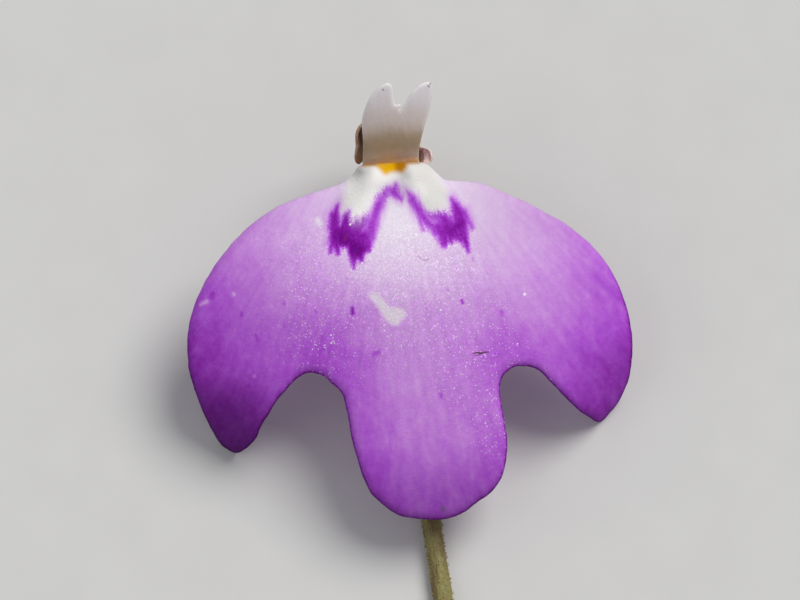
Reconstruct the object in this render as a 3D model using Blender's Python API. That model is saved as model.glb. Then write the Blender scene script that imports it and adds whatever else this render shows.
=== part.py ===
"""A picked bladderwort flower, laid face up on the tips of its side lobes and on its stalk.

The bloom is drawn in its own frame: X to the right as the flower faces the eye, Y up the
flower, and W straight out of its face, with zero at the crest of the palate. An empty tilts
that frame to lie down. The stalk is drawn in the frame that the flower lies in, where Z is
the height above the surface and zero is on the flat strip under the pedicel. All lengths
are in millimetres until a mesh is made.
"""
from math import ceil, cos, exp, pi, radians, sin, sqrt

import bmesh
import bpy
from mathutils import Vector
from mathutils.geometry import delaunay_2d_cdt

MM = 0.001

# Driving sizes
PETAL_THICKNESS = 0.6
JOINT_GAP = 0.15            # between pieces that grow from each other
TILT = radians(18.0)        # how far the face leans from level as the flower lies
REST_FLAT = 0.20            # how much of each lobe tip is pressed flat
BLOOM_Y = 4.0               # palate crest, from the middle of the pedicel's flat strip
PEDICEL_RADIUS = 0.26
SCAPE_RADIUS = 0.30
NODE_Y = -2.7               # where the pedicel leaves the scape
CUT_Y = -12.5               # where the scape was cut
STALK_SIDES = 12
CURVE_STEPS = 12            # how finely the curves are worked out before they are spaced
LOWER_LIP_SPACING = 0.5     # between neighbouring corners of a petal or leaf
UPPER_LIP_SPACING = 0.24
CALYX_SPACING = 0.35
BRACT_SPACING = 0.2

# Lower lip, from the tip of its middle lobe round to the right
LIP_OUTLINE = [
    (0.0, -11.22), (0.9, -11.18), (1.65, -10.83), (2.55, -9.75), (2.74, -8.3), (2.74, -7.2),
    (3.28, -6.72), (3.85, -6.92), (4.5, -7.7), (5.0, -8.28), (5.62, -8.7), (6.2, -8.38),
    (6.67, -7.68), (7.0, -6.3), (6.93, -5.1), (6.45, -3.8), (5.5, -2.6), (4.2, -1.6),
    (2.9, -0.93), (1.95, -0.66), (1.45, -0.4), (1.2, -0.08), (0.8, 0.05), (0.0, 0.1),
    (-0.8, 0.15), (-1.25, 0.1), (-1.52, -0.2), (-1.9, -0.42), (-2.7, -0.53), (-3.8, -0.87),
    (-5.05, -1.65), (-6.25, -2.9), (-6.93, -4.3), (-7.06, -5.6), (-6.72, -7.25),
    (-6.36, -8.05), (-5.87, -8.45), (-5.26, -8.17), (-4.74, -7.46), (-4.1, -6.77),
    (-3.5, -6.3), (-2.98, -6.36), (-2.5, -6.9), (-2.22, -7.7), (-2.12, -9.0),
    (-1.62, -10.35), (-0.85, -11.03),
]
LIP_BROW_Y = -4.5           # the lip stands furthest forward here
LIP_BEND_Y = -2.0           # above this the lip runs straight down into the throat
THROAT_FALL = 0.10
TIP_FALL = 0.0143
SIDE_FALL = 0.0388
LOBE_DROOP_LEFT = 0.0225
LOBE_DROOP_RIGHT = 0.0192
LOBE_DROOP_X = 3.0
LOBE_DROOP_Y = -6.0
PALATE_RISE = 0.70
PALATE_HUMP_X = 0.55
PALATE_HUMP_Y = -0.35
PALATE_SPREAD_X = 0.55
PALATE_SPREAD_Y = 0.62

# Upper lip: its path from the throat outwards as (Y, W), and its outline as (X, way along the path)
UPPER_LIP_PATH = [(0.70, -2.12), (0.78, -1.55), (1.10, -0.90), (1.60, -0.45), (2.20, -0.10), (2.75, 0.05)]
UPPER_LIP_OUTLINE = [
    (-0.80, 0.0), (-0.1, 0.0), (0.72, 0.0), (0.78, 0.3), (0.92, 0.8), (1.15, 1.4), (1.42, 2.05),
    (1.58, 2.5), (1.5, 2.8), (1.2, 2.9), (0.85, 2.68), (0.64, 2.34), (0.44, 2.22), (0.31, 2.45),
    (0.28, 2.8), (0.03, 3.0), (-0.36, 2.78), (-0.6, 2.45), (-0.78, 1.95), (-0.88, 1.2), (-0.88, 0.5),
]
UPPER_LIP_CURL = 0.10

# Spur with its tube: each ring's front and back point as (Y, W), and its half width in X
SPUR_RINGS = [
    ((-0.55, -2.62), (1.05, -2.28), 0.95),
    ((-0.60, -2.72), (1.08, -2.75), 0.97),
    ((-0.65, -2.78), (1.00, -3.18), 0.97),
    ((-0.70, -2.81), (0.68, -3.55), 0.93),
    ((-0.78, -2.82), (0.10, -3.75), 0.85),
    ((-0.90, -2.79), (-0.62, -3.70), 0.75),
    ((-1.15, -2.70), (-1.20, -3.48), 0.62),
    ((-2.00, -2.42), (-2.15, -3.06), 0.42),
    ((-3.20, -2.12), (-3.35, -2.58), 0.28),
    ((-4.60, -1.86), (-4.70, -2.18), 0.20),
    ((-5.80, -1.72), (-5.85, -1.94), 0.12),
    ((-6.30, -1.72), (-6.32, -1.84), 0.06),
]
THROAT_RINGS = [
    ((-0.25, -2.555), (0.75, -2.345), 0.65),
    ((-0.28, -2.75), (0.76, -2.75), 0.66),
    ((-0.30, -3.00), (0.70, -3.12), 0.64),
    ((-0.20, -3.22), (0.45, -3.36), 0.45),
    ((0.02, -3.34), (0.22, -3.40), 0.15),
]
SPUR_SIDES = 16

# Calyx lobes: the upper one wraps round the tube, the lower one cups the spur
CALYX_AXIS_Y = 0.25
CALYX_RADIUS = 1.42
CALYX_UPPER_PROFILE = [(0.35, -4.22), (0.95, -4.12), (1.30, -3.75), (1.42, -3.2), (1.42, -2.6), (1.36, -2.15)]
CALYX_UPPER_OUTLINE = [
    (-1.7, 0.0), (0.0, 0.0), (1.7, 0.0), (2.05, 0.5), (2.1, 1.2), (1.95, 1.75), (1.45, 2.3),
    (0.75, 2.65), (0.0, 2.75), (-0.75, 2.65), (-1.45, 2.3), (-1.95, 1.75), (-2.1, 1.2), (-2.05, 0.5),
]
CALYX_LOWER_PATH = [(0.05, -4.20), (-0.60, -4.17), (-1.30, -3.93), (-2.00, -3.62), (-2.75, -3.26)]
CALYX_LOWER_OUTLINE = [
    (-0.5, 0.0), (0.0, 0.0), (0.5, 0.0), (0.95, 0.35), (1.15, 1.0), (1.1, 1.7), (0.75, 2.4),
    (0.0, 2.85), (-0.75, 2.4), (-1.1, 1.7), (-1.15, 1.0), (-0.95, 0.35),
]
CALYX_LOWER_CUP = 0.12
RECEPTACLE = (0.15, -4.64)  # middle of the pedicel's upper end, as (Y, W)
RECEPTACLE_RADIUS = 0.40

# Pistil as (Y, W, radius), and a stamen as (X, Y, W, radius)
PISTIL_RINGS = [
    (0.20, -3.25, 0.08), (0.20, -3.18, 0.20), (0.20, -3.02, 0.27), (0.20, -2.87, 0.22), (0.21, -2.76, 0.10),
    (0.24, -2.64, 0.07), (0.27, -2.56, 0.09), (0.28, -2.50, 0.14), (0.28, -2.46, 0.12),
]
STAMEN_RINGS = [
    (0.46, 0.22, -3.00, 0.05), (0.47, 0.21, -2.90, 0.07), (0.45, 0.17, -2.77, 0.07), (0.39, 0.11, -2.66, 0.08),
    (0.31, 0.07, -2.61, 0.12), (0.23, 0.05, -2.60, 0.12), (0.17, 0.05, -2.60, 0.06),
]
SMALL_SIDES = 8

# Bract over the node and a bracteole on each side of it
BRACT_OUTLINE = [
    (0.0, 0.0), (0.28, 0.12), (0.4, 0.6), (0.34, 1.15), (0.0, 1.9), (-0.34, 1.15), (-0.4, 0.6), (-0.28, 0.12),
]
BRACTEOLE_OUTLINE = [
    (0.0, 0.0), (0.16, 0.1), (0.24, 0.5), (0.2, 0.95), (0.0, 1.5), (-0.2, 0.95), (-0.24, 0.5), (-0.16, 0.1),
]
BRACT_BACK = 0.35           # how far the bracts start behind the node
BRACT_CUP = 0.25
BRACTEOLE_HEIGHT = 0.27
BRACTEOLE_SPREAD = 0.10

PETAL_PURPLE = (0.30, 0.06, 0.45)
PETAL_WHITE = (0.75, 0.72, 0.68)
SPUR_MAUVE = (0.45, 0.25, 0.50)
CALYX_BROWN = (0.22, 0.12, 0.07)
STALK_OLIVE = (0.20, 0.17, 0.05)
BRACT_GREEN = (0.16, 0.17, 0.05)
OVARY_GREEN = (0.30, 0.38, 0.12)
ANTHER_YELLOW = (0.75, 0.50, 0.12)
PETAL_ROUGHNESS = 0.55
STALK_ROUGHNESS = 0.6


# Curves

def smooth_curve(points, steps, closed=False):
    """Points on a smooth curve that passes through the given ones, with steps to each stretch."""
    count = len(points)
    curve = []
    for i in range(count if closed else count - 1):
        if closed:
            a, b, c, d = (Vector(points[(i + k) % count]) for k in (-1, 0, 1, 2))
        else:
            a, b, c, d = (Vector(points[min(max(i + k, 0), count - 1)]) for k in (-1, 0, 1, 2))
        for step in range(steps):
            t = step / steps
            curve.append(0.5 * (2 * b + (c - a) * t + (2 * a - 5 * b + 4 * c - d) * t ** 2
                                + (3 * b - a - 3 * c + d) * t ** 3))
    if not closed:
        curve.append(Vector(points[-1]))
    return curve


class Route:
    """A curve that is read by the length walked along it."""

    def __init__(self, curve):
        self.curve = curve
        self.walked = [0.0]
        for a, b in zip(self.curve, self.curve[1:]):
            self.walked.append(self.walked[-1] + (b - a).length)
        self.length = self.walked[-1]

    def at(self, way):
        """The point after so much of the way, and the direction there."""
        k = 1
        while k < len(self.walked) - 1 and self.walked[k] < way:
            k += 1
        a, b = self.curve[k - 1], self.curve[k]
        part = (way - self.walked[k - 1]) / (self.walked[k] - self.walked[k - 1])
        return a + (b - a) * part, (b - a).normalized()


def evenly(curve, spacing):
    """Points about one spacing apart along a closed curve."""
    route = Route(curve + [curve[0]])
    count = ceil(route.length / spacing)
    return [route.at(route.length * i / count)[0] for i in range(count)]


# Meshes

def is_inside(point, rim):
    """Whether a flat point lies inside a closed outline."""
    inside = False
    for a, b in zip(rim, rim[1:] + rim[:1]):
        if (a.y > point.y) != (b.y > point.y):
            if point.x < a.x + (b.x - a.x) * (point.y - a.y) / (b.y - a.y):
                inside = not inside
    return inside


def lattice_inside(rim, spacing):
    """Points of a triangular lattice that lie inside an outline and clear of its edge."""
    row_height = spacing * sqrt(3) / 2
    left = min(p.x for p in rim)
    right = max(p.x for p in rim)
    low = min(p.y for p in rim)
    high = max(p.y for p in rim)
    found = []
    for row in range(ceil((high - low) / row_height) + 1):
        for column in range(ceil((right - left) / spacing) + 1):
            point = Vector((left + (column + 0.5 * (row % 2)) * spacing, low + row * row_height))
            clear = min((point - p).length for p in rim) > 0.6 * spacing
            if clear and is_inside(point, rim):
                found.append(point)
    return found


def finish_of(name, colour, roughness):
    """A plain material of one colour."""
    finish = bpy.data.materials.new(name)
    finish.use_nodes = True
    shader = finish.node_tree.nodes["Principled BSDF"]
    shader.inputs["Base Color"].default_value = (*colour, 1.0)
    shader.inputs["Roughness"].default_value = roughness
    shader.inputs["Metallic"].default_value = 0.0
    finish.diffuse_color = (*colour, 1.0)
    return finish


def add_body(name, mesh_in_mm, colour, roughness, parent=None):
    """Turn a closed mesh in millimetres into a smooth object in metres."""
    bmesh.ops.recalc_face_normals(mesh_in_mm, faces=mesh_in_mm.faces)
    bmesh.ops.scale(mesh_in_mm, vec=(MM, MM, MM), verts=mesh_in_mm.verts)
    mesh = bpy.data.meshes.new(name)
    mesh_in_mm.to_mesh(mesh)
    mesh_in_mm.free()
    mesh.shade_smooth()
    mesh.set_sharp_from_angle(angle=radians(50.0))
    mesh.materials.append(finish_of(name + "_finish", colour, roughness))
    body = bpy.data.objects.new(name, mesh)
    bpy.context.scene.collection.objects.link(body)
    body.parent = parent
    return body


def blade(outline, spacing, place):
    """A closed petal or leaf. place(a, b, side) gives a point of its face (1) or its back (-1)."""
    rim = evenly(smooth_curve(outline, CURVE_STEPS, closed=True), spacing)
    flat = rim + lattice_inside(rim, spacing)
    corners, _, triangles, _, _, _ = delaunay_2d_cdt(flat, [], [list(range(len(rim)))], 1, 1e-6)
    body = bmesh.new()
    face = [body.verts.new(place(p.x, p.y, 1)) for p in corners]
    back = [body.verts.new(place(p.x, p.y, -1)) for p in corners]
    for triangle in triangles:
        body.faces.new([face[i] for i in triangle])
    partner = dict(zip(face, back))
    edges = [edge for edge in body.edges if edge.is_boundary]
    for triangle in triangles:
        body.faces.new([back[i] for i in reversed(triangle)])
    for edge in edges:
        a, b = edge.verts
        body.faces.new((a, b, partner[b], partner[a]))
    return body


def ring(centre, across, upright, sides):
    """Points of an ellipse round a centre, with the two half axes given, and a flat side down."""
    turn = 2 * pi / sides
    return [centre + across * sin((i + 0.5) * turn) - upright * cos((i + 0.5) * turn) for i in range(sides)]


def sleeve(rings):
    """A closed body through rings of points, with the first and the last ring filled."""
    body = bmesh.new()
    rows = [[body.verts.new(p) for p in points] for points in rings]
    for row, after in zip(rows, rows[1:]):
        count = len(row)
        for i in range(count):
            body.faces.new((row[i], row[(i + 1) % count], after[(i + 1) % count], after[i]))
    body.faces.new(rows[0])
    body.faces.new(rows[-1])
    return body


# Lower lip

def lip_sheet(x, y):
    """Height of the lower lip's face without the palate."""
    down_the_lip = y - LIP_BROW_Y
    if down_the_lip < 0:
        height = -TIP_FALL * down_the_lip ** 2
    elif y < LIP_BEND_Y:
        height = -THROAT_FALL * down_the_lip ** 2
    else:
        bend = LIP_BEND_Y - LIP_BROW_Y
        height = -THROAT_FALL * bend ** 2 - 2 * THROAT_FALL * bend * (y - LIP_BEND_Y)
    height -= SIDE_FALL * x ** 2
    droop = LOBE_DROOP_LEFT if x < 0 else LOBE_DROOP_RIGHT
    height -= droop * max(abs(x) - LOBE_DROOP_X, 0) ** 2 * max(LOBE_DROOP_Y - y, 0) ** 2
    return height


def lip_back(x, y):
    """Height of the lower lip's back, deeper where the lip is steep, so its thickness stays even."""
    step = 0.05
    slope_x = (lip_sheet(x + step, y) - lip_sheet(x - step, y)) / (2 * step)
    slope_y = (lip_sheet(x, y + step) - lip_sheet(x, y - step)) / (2 * step)
    return lip_sheet(x, y) - PETAL_THICKNESS * sqrt(1 + slope_x ** 2 + slope_y ** 2)


def palate(x, y):
    """Height of the two-humped palate over the lip."""
    along = exp(-((y - PALATE_HUMP_Y) / PALATE_SPREAD_Y) ** 2)
    humps = sum(exp(-((x - side * PALATE_HUMP_X) / PALATE_SPREAD_X) ** 2) for side in (-1, 1))
    return PALATE_RISE * along * humps


BLOOM_HEIGHT = -REST_FLAT - min(
    y * sin(TILT) + lip_back(x, y) * cos(TILT)
    for x, y in smooth_curve(LIP_OUTLINE, CURVE_STEPS, closed=True)
)


def laid(y, w):
    """Where a point of the bloom's middle plane comes to lie, as (Y, Z)."""
    return BLOOM_Y + y * cos(TILT) - w * sin(TILT), BLOOM_HEIGHT + y * sin(TILT) + w * cos(TILT)


def place_lower_lip(x, y, side):
    surface = -(BLOOM_HEIGHT + y * sin(TILT)) / cos(TILT)
    if side > 0:
        return x, y, lip_sheet(x, y) + palate(x, y)
    return x, y, max(lip_back(x, y), surface)


# Upper lip

upper_lip_route = Route(smooth_curve(UPPER_LIP_PATH, CURVE_STEPS))


def place_upper_lip(x, way, side):
    point, direction = upper_lip_route.at(way)
    facing = Vector((-direction.y, direction.x))
    point = point + facing * (side * PETAL_THICKNESS / 2 - UPPER_LIP_CURL * x ** 2)
    return x, point.x, point.y


# Calyx

calyx_upper_route = Route(smooth_curve(CALYX_UPPER_PROFILE, CURVE_STEPS))
calyx_lower_route = Route(smooth_curve(CALYX_LOWER_PATH, CURVE_STEPS))


def place_calyx_upper(round_axis, way, side):
    point, direction = calyx_upper_route.at(way)
    outward = Vector((direction.y, -direction.x))
    point = point + outward * side * PETAL_THICKNESS / 2
    angle = round_axis / CALYX_RADIUS
    return point.x * sin(angle), CALYX_AXIS_Y + point.x * cos(angle), point.y


def place_calyx_lower(x, way, side):
    point, direction = calyx_lower_route.at(way)
    facing = Vector((direction.y, -direction.x))
    point = point + facing * (side * PETAL_THICKNESS / 2 + CALYX_LOWER_CUP * x ** 2)
    return x, point.x, point.y


# Spur, pistil and stamens

def spur_ring(front, back, half_width):
    front = Vector((0, *front))
    back = Vector((0, *back))
    return ring((front + back) / 2, Vector((half_width, 0, 0)), (front - back) / 2, SPUR_SIDES)


def pistil_ring(y, w, radius):
    return ring(Vector((0, y, w)), Vector((radius, 0, 0)), Vector((0, radius, 0)), SMALL_SIDES)


def round_rings(stations, sides):
    """Rings square to the way through stations of (x, y, z, radius), with their flat side down."""
    centres = [Vector(station[:3]) for station in stations]
    rings = []
    for i, (centre, station) in enumerate(zip(centres, stations)):
        along = (centres[min(i + 1, len(centres) - 1)] - centres[max(i - 1, 0)]).normalized()
        across = along.cross(Vector((0, 0, 1)))
        if across.length < 0.2:
            across = along.cross(Vector((0, 1, 0)))
        across.normalize()
        upright = across.cross(along)
        rings.append(ring(centre, across * station[3], upright * station[3], sides))
    return rings


# Stalk

def on_surface(rings):
    """Press what would lie under the surface flat against it."""
    return [[Vector((p.x, p.y, max(p.z, 0.0))) for p in points] for points in rings]


def lying_height(radius):
    """Height of a lying stalk's middle line, with its lowest side pressed flat."""
    return radius * cos(pi / STALK_SIDES) - 0.01


def pedicel_rings():
    top_y, top_z = laid(*RECEPTACLE)
    low = lying_height(PEDICEL_RADIUS)
    bend = [
        (top_y, top_z), (top_y + 0.06, top_z - 0.30), (top_y + 0.02, 0.92), (top_y - 0.20, 0.55),
        (top_y - 0.60, 0.33), (top_y - 1.2, low), (top_y - 2.2, low), (top_y - 4.2, low), (NODE_Y + 2.0, low),
        (NODE_Y, low),
    ]
    route = Route(smooth_curve(bend, 4))
    rings = []
    for (y, z), way in zip(route.curve, route.walked):
        along = route.at(way)[1]
        flare = (RECEPTACLE_RADIUS - PEDICEL_RADIUS) * exp(-(way / 0.3) ** 2)
        radius = PEDICEL_RADIUS + flare
        across = Vector((radius, 0, 0))
        upright = Vector((0, -along.y, along.x)) * -radius
        rings.append(ring(Vector((0, y, max(z, low))), across, upright, STALK_SIDES))
    return on_surface(rings)


def scape_rings():
    low = lying_height(SCAPE_RADIUS)
    start = NODE_Y - JOINT_GAP
    stations = []
    steps = 16
    for i in range(steps + 1):
        y = start + (CUT_Y - start) * i / steps
        x = 0.12 * (1 - cos((y - start) / 3.0))
        stations.append((x, y, low, SCAPE_RADIUS))
    return on_surface(round_rings(stations, STALK_SIDES))


def place_bract(x, way, side):
    height = 2 * SCAPE_RADIUS + JOINT_GAP + PETAL_THICKNESS / 2
    rise = 0.06 * way ** 2
    return x, NODE_Y - BRACT_BACK + way, height + rise - BRACT_CUP * x ** 2 + side * PETAL_THICKNESS / 2


def place_bracteole(hand):
    """A bracteole on the right (1) or the left (-1) of the stalk."""
    away = SCAPE_RADIUS + JOINT_GAP + PETAL_THICKNESS / 2

    def place(up, way, side):
        x = hand * (away + BRACTEOLE_SPREAD * way ** 2 + side * PETAL_THICKNESS / 2)
        return x, NODE_Y - BRACT_BACK + way, BRACTEOLE_HEIGHT + up

    return place


# Build

for old in list(bpy.data.objects):
    bpy.data.objects.remove(old)

bloom = bpy.data.objects.new("bloom", None)
bloom.location = (0, BLOOM_Y * MM, BLOOM_HEIGHT * MM)
bloom.rotation_euler = (TILT, 0, 0)
bpy.context.scene.collection.objects.link(bloom)

petals = [
    ("lower_lip", LIP_OUTLINE, LOWER_LIP_SPACING, place_lower_lip, PETAL_PURPLE),
    ("upper_lip", UPPER_LIP_OUTLINE, UPPER_LIP_SPACING, place_upper_lip, PETAL_WHITE),
    ("calyx_upper_lobe", CALYX_UPPER_OUTLINE, CALYX_SPACING, place_calyx_upper, CALYX_BROWN),
    ("calyx_lower_lobe", CALYX_LOWER_OUTLINE, CALYX_SPACING, place_calyx_lower, CALYX_BROWN),
]
for name, outline, spacing, place, colour in petals:
    add_body(name, blade(outline, spacing, place), colour, PETAL_ROUGHNESS, bloom)

spur_rings = [spur_ring(*station) for station in SPUR_RINGS[::-1] + THROAT_RINGS]
add_body("spur", sleeve(spur_rings), SPUR_MAUVE, PETAL_ROUGHNESS, bloom)
pistil_rings = [pistil_ring(*station) for station in PISTIL_RINGS]
add_body("pistil", sleeve(pistil_rings), OVARY_GREEN, STALK_ROUGHNESS, bloom)
for name, hand in (("stamen_left", -1), ("stamen_right", 1)):
    stations = [(hand * x, y, w, radius) for x, y, w, radius in STAMEN_RINGS]
    add_body(name, sleeve(round_rings(stations, SMALL_SIDES)), ANTHER_YELLOW, STALK_ROUGHNESS, bloom)

add_body("pedicel", sleeve(pedicel_rings()), STALK_OLIVE, STALK_ROUGHNESS)
add_body("scape", sleeve(scape_rings()), STALK_OLIVE, STALK_ROUGHNESS)
add_body("bract", blade(BRACT_OUTLINE, BRACT_SPACING, place_bract), BRACT_GREEN, STALK_ROUGHNESS)
for name, hand in (("bracteole_left", -1), ("bracteole_right", 1)):
    solid = blade(BRACTEOLE_OUTLINE, BRACT_SPACING, place_bracteole(hand))
    add_body(name, solid, BRACT_GREEN, STALK_ROUGHNESS)
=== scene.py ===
# %% [markdown]
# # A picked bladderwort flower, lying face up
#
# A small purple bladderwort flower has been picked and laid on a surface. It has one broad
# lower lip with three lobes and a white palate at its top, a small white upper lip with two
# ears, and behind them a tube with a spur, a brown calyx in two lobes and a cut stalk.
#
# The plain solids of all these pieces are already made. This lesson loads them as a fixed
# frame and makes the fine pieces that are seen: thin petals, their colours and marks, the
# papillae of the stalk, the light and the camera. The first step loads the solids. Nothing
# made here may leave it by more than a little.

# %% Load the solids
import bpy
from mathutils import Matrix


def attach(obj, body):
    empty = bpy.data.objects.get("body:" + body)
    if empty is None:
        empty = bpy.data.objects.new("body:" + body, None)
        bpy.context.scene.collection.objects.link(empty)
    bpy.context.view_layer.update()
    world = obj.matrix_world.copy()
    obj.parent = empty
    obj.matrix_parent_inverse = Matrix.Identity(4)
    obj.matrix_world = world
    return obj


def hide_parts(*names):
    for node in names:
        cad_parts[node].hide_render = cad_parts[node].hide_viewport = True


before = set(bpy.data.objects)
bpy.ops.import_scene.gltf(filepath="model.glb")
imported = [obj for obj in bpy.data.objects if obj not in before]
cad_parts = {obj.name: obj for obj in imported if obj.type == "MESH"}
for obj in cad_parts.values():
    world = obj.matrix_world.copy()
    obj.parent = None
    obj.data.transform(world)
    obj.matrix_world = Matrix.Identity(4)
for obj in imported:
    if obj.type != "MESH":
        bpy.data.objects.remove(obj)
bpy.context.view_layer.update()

print("solids:", ", ".join(sorted(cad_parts)))

# %% Tools of the trade
from math import atan2, ceil, cos, pi, radians, sin

import bmesh
import bpy
import numpy as np
from mathutils import Matrix, Vector, noise
from mathutils.geometry import delaunay_2d_cdt

MM = 0.001

# %% [markdown]
# ## The bloom's own frame
#
# The bloom is drawn as it faces the eye: X to the right, Y up the flower and W straight out
# of its face, all in millimetres, with zero at the crest of the palate. It lies tilted by 18
# degrees on the tips of its side lobes. Drawing it tilted would make every number hard to
# read, so each piece of the bloom is drawn upright and its object is tilted afterwards. The
# shader then also reads upright millimetres, which is what the marks of the petal need.

# %% The bloom's own frame
TILT = radians(18.0)
BLOOM_Y = 4.0               # the palate's crest, from the middle of the pedicel's flat strip
BLOOM_HEIGHT = 6.194        # the crest over the surface when the side lobes' tips lie on it


def ground(y):
    """The W at which the surface lies under a point of the bloom."""
    return -(BLOOM_HEIGHT + y * sin(TILT)) / cos(TILT)


# %% [markdown]
# ## Curves
#
# Petal outlines are drawn with as few points as their shape needs. A smooth curve through
# those points is then walked at even steps, so that the corners of the mesh lie evenly
# along the edge of the petal whatever the spacing of the drawn points.

# %% Curves through a few points
def smooth_curve(points, steps=12, closed=False):
    """Points on a smooth curve that passes through the given ones."""
    points = np.array(points, float)
    count = len(points)
    t = (np.arange(steps) / steps)[:, None]
    stretches = []
    for i in range(count if closed else count - 1):
        near = [(i + k) % count if closed else min(max(i + k, 0), count - 1) for k in (-1, 0, 1, 2)]
        a, b, c, d = points[near]
        bend = (2 * a - 5 * b + 4 * c - d) * t ** 2 + (3 * b - a - 3 * c + d) * t ** 3
        stretches.append(0.5 * (2 * b + (c - a) * t + bend))
    if not closed:
        stretches.append(points[-1:])
    return np.concatenate(stretches)


def walk(curve):
    """The length walked along a curve at each of its points."""
    return np.concatenate([[0.0], np.cumsum(np.linalg.norm(np.diff(curve, axis=0), axis=1))])


def at_way(curve, way):
    """The points of a curve after so much of the way."""
    walked = walk(curve)
    return np.stack([np.interp(way, walked, curve[:, k]) for k in range(curve.shape[1])], axis=-1)


def evenly(curve, spacing):
    """Points about one spacing apart along a closed curve."""
    loop = np.concatenate([curve, curve[:1]])
    length = walk(loop)[-1]
    count = ceil(length / spacing)
    return at_way(loop, length * np.arange(count) / count)


# %% [markdown]
# ## The shape of the lower lip
#
# The lip is one petal. Its face is a gentle saddle: highest at the brow below the palate,
# falling to the tip of the middle lobe, to both sides and steeply into the throat, while the
# tips of the side lobes droop. A formula for the height keeps the whole face smooth and is
# the one that gave the solids their form, so the fine petal lies where the solid lies. Only
# the tips droop a little more here, because the fine petal is thinner than the solid and its
# tips have to come down to the surface too.

# %% Outline of the lower lip, from the tip of its middle lobe round to the right
LIP_OUTLINE = [
    (0.0, -11.30), (0.5, -11.34), (1.05, -11.21), (1.54, -10.93), (2.04, -10.65), (2.47, -10.13),
    (2.71, -9.35), (2.72, -8.5), (2.67, -7.6), (2.81, -7.03), (3.28, -6.76), (3.87, -6.90),
    (4.30, -7.38), (5.00, -8.25), (5.45, -8.65), (5.79, -8.86), (6.12, -8.62), (6.48, -8.25),
    (6.88, -7.46), (7.07, -6.2), (6.95, -5.1), (6.69, -4.22), (6.22, -3.37), (5.5, -2.58),
    (4.42, -1.78), (3.02, -0.96), (2.3, -0.73), (1.78, -0.65), (1.58, -0.58), (1.38, -0.33),
    (1.14, -0.08), (0.8, 0.05), (0.0, 0.1), (-0.8, 0.13), (-1.03, 0.08), (-1.21, -0.09),
    (-1.41, -0.25), (-1.65, -0.38), (-2.1, -0.48), (-2.75, -0.62), (-3.8, -0.92),
    (-5.04, -1.67), (-6.22, -2.92), (-6.94, -4.3), (-7.11, -5.6), (-6.95, -6.61), (-6.75, -7.38),
    (-6.43, -8.20), (-6.02, -8.56), (-5.66, -8.51), (-5.25, -8.21), (-4.86, -7.62), (-4.20, -6.82),
    (-3.5, -6.3), (-2.97, -6.34), (-2.60, -6.69), (-2.32, -7.02), (-2.22, -7.6), (-2.12, -8.81),
    (-1.84, -10.04), (-1.51, -10.56), (-0.93, -11.06),
]

# %% Height of the lower lip's face
LIP_BROW_Y = -4.5
LIP_BEND_Y = -2.0           # above this the lip runs straight down into the throat
THROAT_FALL = 0.10
TIP_FALL = 0.0143
SIDE_FALL = 0.0388
DROOP_LEFT = 0.0315
DROOP_RIGHT = 0.0276
DROOP_X = 3.0
DROOP_Y = -6.0


def lip_sheet(x, y):
    """Height of the lower lip's face without the palate."""
    below_brow = y - LIP_BROW_Y
    bend = LIP_BEND_Y - LIP_BROW_Y
    straight = -THROAT_FALL * bend ** 2 - 2 * THROAT_FALL * bend * (y - LIP_BEND_Y)
    rounded = np.where(below_brow < 0, -TIP_FALL, -THROAT_FALL) * below_brow ** 2
    height = np.where(y < LIP_BEND_Y, rounded, straight) - SIDE_FALL * x ** 2
    droop = np.where(x < 0, DROOP_LEFT, DROOP_RIGHT)
    return height - droop * np.maximum(abs(x) - DROOP_X, 0) ** 2 * np.maximum(DROOP_Y - y, 0) ** 2


def steepness(x, y, step=0.05):
    """How much longer the lip's face is than its shadow."""
    slope_x = (lip_sheet(x + step, y) - lip_sheet(x - step, y)) / (2 * step)
    slope_y = (lip_sheet(x, y + step) - lip_sheet(x, y - step)) / (2 * step)
    return np.sqrt(1 + slope_x ** 2 + slope_y ** 2)


# %% [markdown]
# ## How a petal is made
#
# A real petal is about a quarter of a millimetre thick and thins to a soft round edge. A
# flat plane with a Solidify modifier would leave a square edge, which catches the light in a
# hard line. Here the outline is filled with a fine even lattice, with extra rows of corners
# close to the edge, and each corner is then placed twice, on the face and on the back. The
# corners of the edge itself are shared, so face and back meet in one rounded margin.

# %% Fill an outline with corners
def to_outline(points, rim):
    """How far flat points lie inside a closed outline; less than zero is outside."""
    nearest = np.full(len(points), np.inf)
    inside = np.zeros(len(points), bool)
    for a, b in zip(rim, np.roll(rim, -1, axis=0)):
        run = b - a
        part = np.clip((points - a) @ run / (run @ run), 0, 1)
        nearest = np.minimum(nearest, np.linalg.norm(points - a - part[:, None] * run, axis=1))
        crosses = (a[1] > points[:, 1]) != (b[1] > points[:, 1])
        if a[1] != b[1]:
            inside ^= crosses & (points[:, 0] < a[0] + run[0] * (points[:, 1] - a[1]) / run[1])
    return np.where(inside, nearest, -nearest)


def lattice(rim, spacing):
    """An even lattice of triangles' corners over the box round an outline."""
    low = rim.min(axis=0)
    high = rim.max(axis=0)
    row_height = spacing * 0.866
    rows = np.arange(low[1], high[1], row_height)
    columns = np.arange(low[0], high[0] + spacing, spacing)
    x, y = np.meshgrid(columns, rows)
    x[1::2] += spacing / 2
    return np.column_stack([x.ravel(), y.ravel()])


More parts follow.
